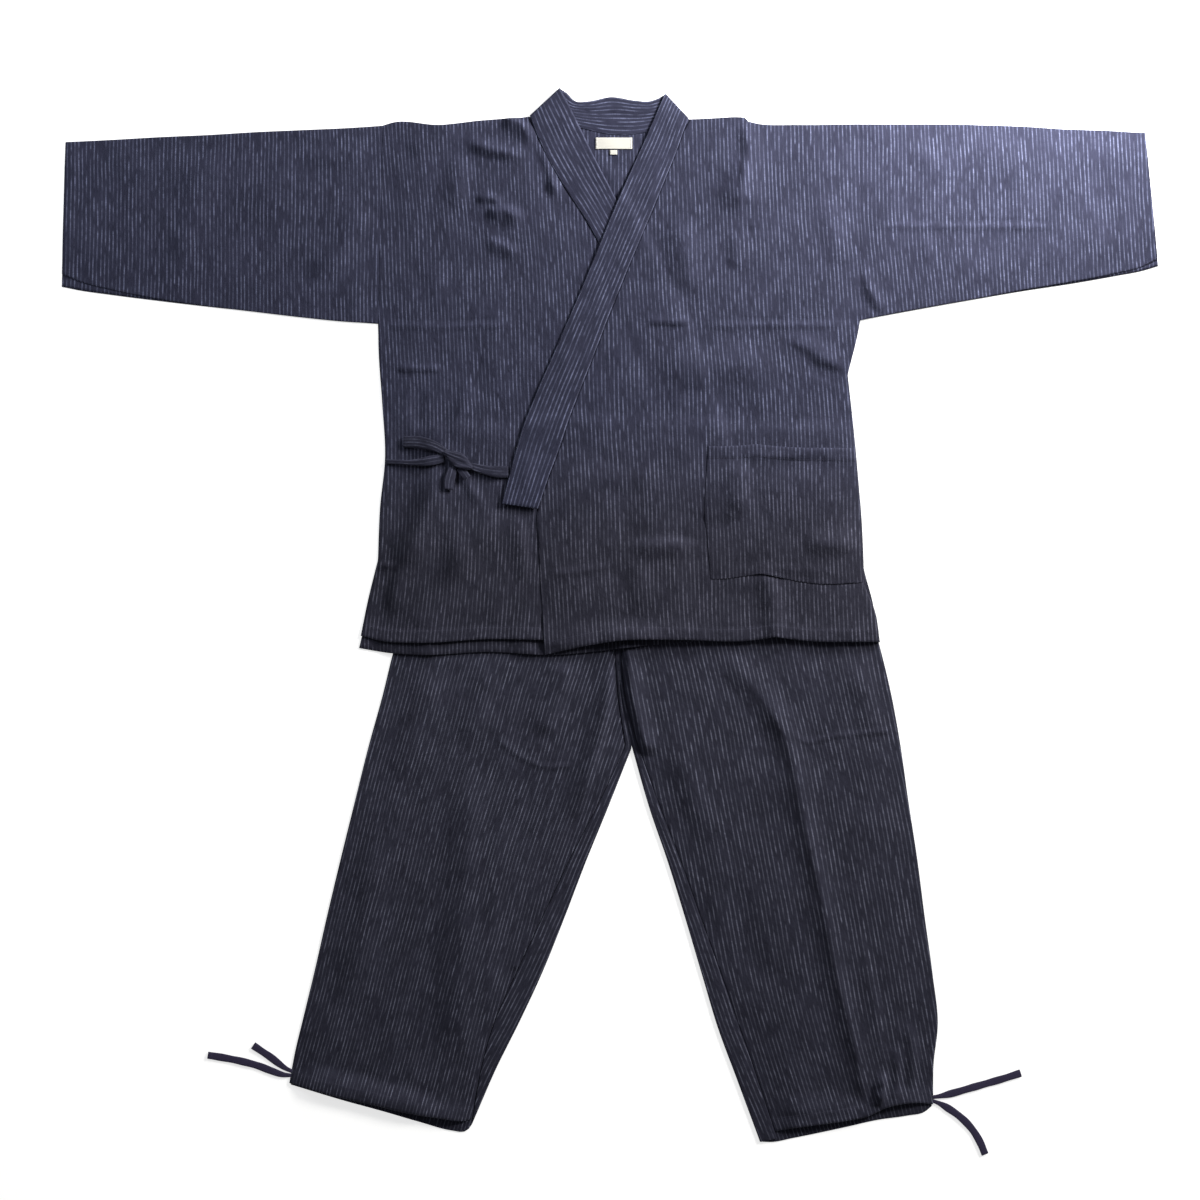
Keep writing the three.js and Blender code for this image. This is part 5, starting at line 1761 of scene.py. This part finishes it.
@dataclass
class Tie:
    """The jacket's tie: a strap from the side seam and one from the collar, in a one-sided bow."""

    straps: dict[str, tuple[StrapRow, ...]] = field(default_factory=lambda: {
        "tie_side": (
            StrapRow(-313, 214.5, 7, 0.2), StrapRow(-298, 214, 6.5, 1.6), StrapRow(-282, 213, 7, 2.2),
            StrapRow(-265, 213.5, 11, 2.2), StrapRow(-248, 216, 14, 1.6), StrapRow(-232, 219, 11, 0.6),
        ),
        "tie_front": (
            StrapRow(-142, 200, 16, 0.6), StrapRow(-158, 200, 16, 2.0), StrapRow(-177, 203, 13, 1.8),
            StrapRow(-198, 209, 9, 0.4),
        ),
        "bow_end_long": (
            StrapRow(-219, 208, 9, 0.8), StrapRow(-221, 200, 13, 2.2), StrapRow(-224, 188, 15, 2.0),
            StrapRow(-225, 175, 13, 1.0),
        ),
        "bow_end_short": (
            StrapRow(-211, 206, 8, 0.6), StrapRow(-206, 200, 11, 1.8), StrapRow(-199, 191, 11, 0.8),
        ),
        "bow_loop": (
            StrapRow(-226, 225, 10, 0.6), StrapRow(-244, 235, 14, 2.6), StrapRow(-266, 241, 17, 3.2),
            StrapRow(-289, 242, 16, 1.2),
        ),
    })
    knot: tuple[float, float, float, float] = (-212.0, 216.5, 46.0, 21.0)  # its middle, length and width
    knot_slant: float = -0.52
    knot_crown: float = 5.0

    def build(self, bench: Bench) -> None:
        """Lays the straps on the right front and the knot on the straps."""
        body = ("jacket_front_right", "jacket_back")
        for number, (name, rows) in enumerate(self.straps.items()):
            self.strap(bench, name, rows, body, number)
        self.make_knot(bench)

    def strap(self, bench: Bench, name: str, rows: Sequence[StrapRow], body: tuple[str, ...], number: int) -> None:
        """Lays one strap.

        Args:
            bench: The bench.
            name: The solid that it stands for.
            rows: Its middle line.
            body: What it lies on.
            number: Which strap it is.
        """
        t = stations([Spline([row[:2] for row in rows])], 1.8, (0.5,), (0.5,))
        table = Spline(rows).at(t)
        shares = np.array([-1, -0.93, -0.7, -0.4, -0.1, 0.1, 0.4, 0.7, 0.93, 1.0])[None]
        across = shares * table[:, 2:3] / 2
        grid = table[:, None, :2] + sideways(table[:, :2])[:, None] * across[..., None]
        bulge = 1 - shares**2
        crease = 0.7 * np.exp(-((shares - 0.25) / 0.25) ** 2) * (0.6 + 0.4 * math.sin(number * 2.0))
        low = bench.pile.support(body, grid, 2) + REST + table[:, 3:4] + 0.5 * bulge
        high = low + 1.5 + 0.5 * np.sqrt(np.clip(bulge, 0, 1)) - crease
        weave = np.stack([across + 40 * number, walked(grid, 0)], axis=2)
        sheet = Sheet(with_z(grid, high), with_z(grid, low), weave)
        bench.pile.record(name, sheet.outer)
        bench.cloth(name, sheet, bench.finishes.tie, body, "tie_cloth")

    def make_knot(self, bench: Bench) -> None:
        """Wraps the knot: a strap's width of cloth pulled tight over the crossing."""
        cx, cy, length, width = self.knot
        turns = np.sin(np.linspace(-math.pi / 2, math.pi / 2, 22))
        u, v = np.meshgrid(turns, turns)
        along = length / 2 * u * np.sqrt(1 - v * v / 2.3)
        across = -width / 2 * v * np.sqrt(1 - u * u / 2.3) * (1 - 0.3 * u * u)
        c, s = math.cos(self.knot_slant), math.sin(self.knot_slant)
        grid = np.stack([cx + along * c - across * s, cy + along * s + across * c], axis=2)
        flat = bench.pile.support(tuple(self.straps), grid, 1)
        base = np.full(grid.shape[:2], float(flat.max()) + REST)
        away = np.clip(np.hypot(u, v), 0, 1)
        crown = np.sqrt(np.clip(1 - away**2.2, 0, 1))
        crease = 0.9 * np.exp(-((v + 0.3 * u - 0.15) / 0.16) ** 2) + 0.7 * np.exp(-((v + 0.2 * u + 0.45) / 0.13) ** 2)
        low = np.minimum(base, bench.pile.support(("jacket_front_right",), grid, 1) + 2.2 + 1.4 * away)
        low = np.maximum(low, flat + REST * np.where(flat > 0.01, 1, 0))
        outer = with_z(grid, low + 1.4 + crown * (self.knot_crown * 0.75 - crease))
        weave = np.stack([v * width / 2 + 300 + 4 * u, u * length / 2], axis=2)
        bench.cloth("knot", Sheet(outer, with_z(grid, low), weave), bench.finishes.tie, tuple(self.straps), "tie_cloth")


# ---- small parts


@dataclass
class Labels:
    """The bare neck label and the size tab under it."""

    neck: tuple[float, float, float, float] = (-20.0, 31.0, 668.0, 652.0)  # its sides, top and bottom
    tab: tuple[float, float, float, float] = (0.0, 10.0, 650.5, 644.0)
    thick: float = 0.7

    def build(self, bench: Bench) -> None:
        """Lays both on the back of the neck."""
        for name, (start, end, top, bottom) in (("neck_label", self.neck), ("size_tab", self.tab)):
            across = np.concatenate([[start, start + 0.5], np.linspace(start + 2, end - 2, 22), [end - 0.5, end]])
            down = np.concatenate([[top, top - 0.5], np.linspace(top - 2, bottom + 2, 10), [bottom + 0.5, bottom]])
            x, y = np.meshgrid(across, down)
            grid = np.stack([x, y], axis=2)
            wave = 0.35 * np.sin((x - start) / 9.0) * np.sin((y - bottom) / 8.0)
            base = bench.pile.support(("jacket_back",), grid, 2) + REST + np.maximum(wave + 0.2, 0)
            sheet = Sheet(with_z(grid, base + self.thick), with_z(grid, base), grid)
            thing = shell(f"{name}_cloth", sheet)
            bench.place(thing, bench.finishes.label, "label", (name,))
            bench.pile.record(name, sheet.outer)
            if name == "neck_label":
                levels = np.linspace(top - 1, bottom + 1, 8)
                height = float(base.max()) + self.thick
                for at in (start + 1.5, end - 1.5):
                    bench.sew("stitching_label", np.array([[at, level, height] for level in levels]))


@dataclass
class Drawstrings:
    """Free ends of the flat tape in the leg hems."""

    width: float = 10.5
    thick: float = 1.8
    height: float = 1.25
    routes: dict[str, Spots] = field(default_factory=lambda: {
        "drawstring_right_long": (
            (-445.8, -644.4), (-457, -643.5), (-474, -638), (-491, -631.5), (-514, -625), (-539, -620), (-563, -616),
        ),
        "drawstring_right_short": (
            (-445.0, -638.8), (-454, -634.5), (-464, -627.5), (-475, -619), (-486, -611.5), (-499.5, -602.3),
        ),
        "drawstring_left_long": (
            (452.0, -675.0), (462, -673.4), (479, -669.5), (503, -662.5), (526, -656), (550, -649), (575, -641),
        ),
        "drawstring_left_short": (
            (451.6, -680.0), (460, -683.2), (475, -691.5), (492, -704), (507, -720), (518, -738), (525, -755),
        ),
    })

    def build(self, bench: Bench) -> None:
        angles = np.linspace(0, 2 * math.pi, 20, endpoint=False)
        wide, tall = (
            np.sign(wave) * np.abs(wave) ** square * size / 2
            for wave, square, size in ((np.cos(angles), 0.55, self.width), (np.sin(angles), 0.8, self.thick))
        )
        for number, (name, route) in enumerate(self.routes.items()):
            line = Spline(route)
            table = line.at(stations([line], 1.6, (0.3, 0.9), (0.3, 0.9)))
            side, far = sideways(table), travelled(table)
            total = far[-1]
            end = np.sqrt(np.clip(np.minimum(far, total - far) / 0.9, 0, 1))
            narrow = (0.92 + 0.08 * end) * (0.5 + 0.5 * smooth(far / 26)) * (1 + 0.04 * np.sin(far / 5.0 + number))
            spots = table[:, None] + side[:, None] * (wide[None] * narrow[:, None])[..., None]
            wander = 0.25 * (np.sin(far / 9.0 + number) + 1) * smooth(far / 20)
            heights = (self.height + wander)[:, None] + tall[None] * (0.55 + 0.45 * end)[:, None]
            index = np.arange(heights.size).reshape(heights.shape)
            after = np.roll(index, -1, axis=1)
            faces = np.stack([index[:-1], after[:-1], after[1:], index[1:]], axis=-1).reshape(-1, 4).tolist()
            faces += [index[0, ::-1].tolist(), index[-1].tolist()]
            weave = np.stack(np.broadcast_arrays(angles[None] * 3.5, far[:, None]), axis=2).reshape(-1, 2)
            thing = mesh_object(f"{name}_tape", with_z(spots, heights).reshape(-1, 3), faces, weave)
            bench.place(thing, bench.finishes.tape, "drawstring", (name,))
            path = np.concatenate([table, np.full((len(table), 1), self.height)], axis=1) * MM


@dataclass(frozen=True)
class Stitching:
    """Runs of short stitches, joined into one piece for each group."""

    pitch: float = 3.4
    length: float = 2.4
    width: float = 0.5
    height: float = 0.28

    def build(self, bench: Bench) -> None:
        """Builds the stitches along every kept line."""
        for group, routes in bench.stitches.items():
            points, faces, weave = [], [], []
            for route in routes:
                self.run(route, points, faces, weave)
            thing = mesh_object(group, np.asarray(points), faces, np.asarray(weave))
            if group.endswith("label"):
                bench.place(thing, bench.finishes.white_thread, "label")
            else:
                bench.place(thing, bench.finishes.navy_thread, "cloth")

    def run(self, route: Array, points: list[Array], faces: list[list[int]], weave: list[list[float]]) -> None:
        """Adds the stitches of one line.

        Args:
            route: Points on the cloth.
            points: The vertices so far.
            faces: The faces so far.
            weave: The places in the weave so far.
        """
        far = travelled(route)
        for start in np.arange(0.5, far[-1] - self.length, self.pitch):
            a, b = (
                np.array([np.interp(at, far, route[:, axis]) for axis in range(3)])
                for at in (start, start + self.length)
            )
            heading = (b - a) / max(np.linalg.norm(b - a), 1e-6)
            side = np.array([-heading[1], heading[0], 0.0])
            base = len(points)
            points.append(a - (0, 0, 0.08))
            for share in (0.25, 0.75):
                middle, half = a + (b - a) * share, side * self.width / 2
                points += [middle + half, middle + (0, 0, self.height), middle - half, middle - (0, 0, 0.12)]
            points.append(b - (0, 0, 0.08))
            for k in range(4):
                n = (k + 1) % 4
                faces.append([base, base + 1 + n, base + 1 + k])
                faces.append([base + 1 + k, base + 1 + n, base + 5 + n, base + 5 + k])
                faces.append([base + 9, base + 5 + k, base + 5 + n])
            weave.extend([[0.1 * (k % 5), 0.3 * k] for k in range(10)])


# ---- studio


@dataclass(frozen=True)
class Studio:
    """Camera straight above, a pale floor, a large light at the upper right and a soft sky."""

    camera_at: tuple[float, float, float] = (-0.014, 0.021, 3.967)
    lens: float = 85.0
    key_at: tuple[float, float, float] = (0.72, 1.04, 0.40)
    key_aim: tuple[float, float, float] = (0.45, 0.88, 0.0)
    key_size: float = 0.3
    key_power: float = 30.0
    window_at: tuple[float, float, float] = (4.3, 2.7, 2.3)
    window_power: float = 335.0
    fill_at: tuple[float, float, float] = (-1.0, 1.0, 0.9)
    fill_power: float = 8.5
    sky: float = 0.15
    floor: float = 6.0  # half its width in metres

    def camera(self) -> None:
        """Sets up the camera."""
        data = bpy.data.cameras.new("camera")
        data.lens = self.lens
        data.sensor_width = 36.0
        thing = bpy.data.objects.new("camera", data)
        thing.location = self.camera_at
        bpy.context.collection.objects.link(thing)
        bpy.context.scene.camera = thing

    def lights(self) -> None:
        """Sets up the floor, the lights and the sky."""
        mesh = bpy.data.meshes.new("floor")
        corners = [(x * self.floor, y * self.floor, -0.0003) for x, y in ((-1, -1), (1, -1), (1, 1), (-1, 1))]
        mesh.from_pydata(corners, [], [(0, 1, 2, 3)])
        floor = bpy.data.objects.new("floor", mesh)
        mesh.materials.append(PaleFloor().make())
        bpy.context.collection.objects.link(floor)
        middle = (0.0, 0.0, 0.0)
        self.area("key_light", self.key_at, self.key_aim, self.key_size, self.key_power, (1.0, 0.99, 0.98))
        self.area("window_light", self.window_at, middle, 1.2, self.window_power, (1.0, 0.98, 0.93))
        self.area("fill_light", self.fill_at, middle, 0.6, self.fill_power, (0.93, 0.96, 1.0))
        world = bpy.data.worlds.new("sky")
        world.use_nodes = True
        back = world.node_tree.nodes["Background"]
        back.inputs["Color"].default_value = (0.97, 0.98, 1.0, 1.0)
        back.inputs["Strength"].default_value = self.sky
        bpy.context.scene.world = world
        bpy.context.scene.view_settings.view_transform = "Standard"

    def area(
        self, name: str, at: tuple[float, float, float], aim: tuple[float, float, float], size: float, power: float,
        colour: Colour,
    ) -> None:
        """Adds one area light.

        Args:
            name: Its name.
            at: Where it hangs.
            aim: Where it looks.
            size: Its width in metres.
            power: Its power in watts.
            colour: Its colour.
        """
        data = bpy.data.lights.new(name, "AREA")
        data.size = size
        data.energy = power
        data.color = colour
        thing = bpy.data.objects.new(name, data)
        thing.location = at
        thing.rotation_euler = (Vector(aim) - Vector(at)).to_track_quat("-Z", "Y").to_euler()
        bpy.context.collection.objects.link(thing)


def main() -> None:
    """Builds the suit in order."""
    logging.basicConfig(level=logging.INFO, format="%(name)s: %(message)s")
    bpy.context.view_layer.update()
    studio = Studio()
    studio.camera()
    bench = Bench()
    Drawstrings().build(bench)
    Trousers().build(bench)
    jacket, collar = Jacket(), Collar()
    jacket.back(bench)
    jacket.right_front(bench)
    under = collar.lay_under(bench)
    front = jacket.left_front(bench)
    collar.finish(bench, under)
    jacket.pocket(bench, front)
    Sleeves().build(bench)
    Tie().build(bench)
    Labels().build(bench)
    Stitching().build(bench)
    studio.lights()


if __name__ == "__main__":
    main()
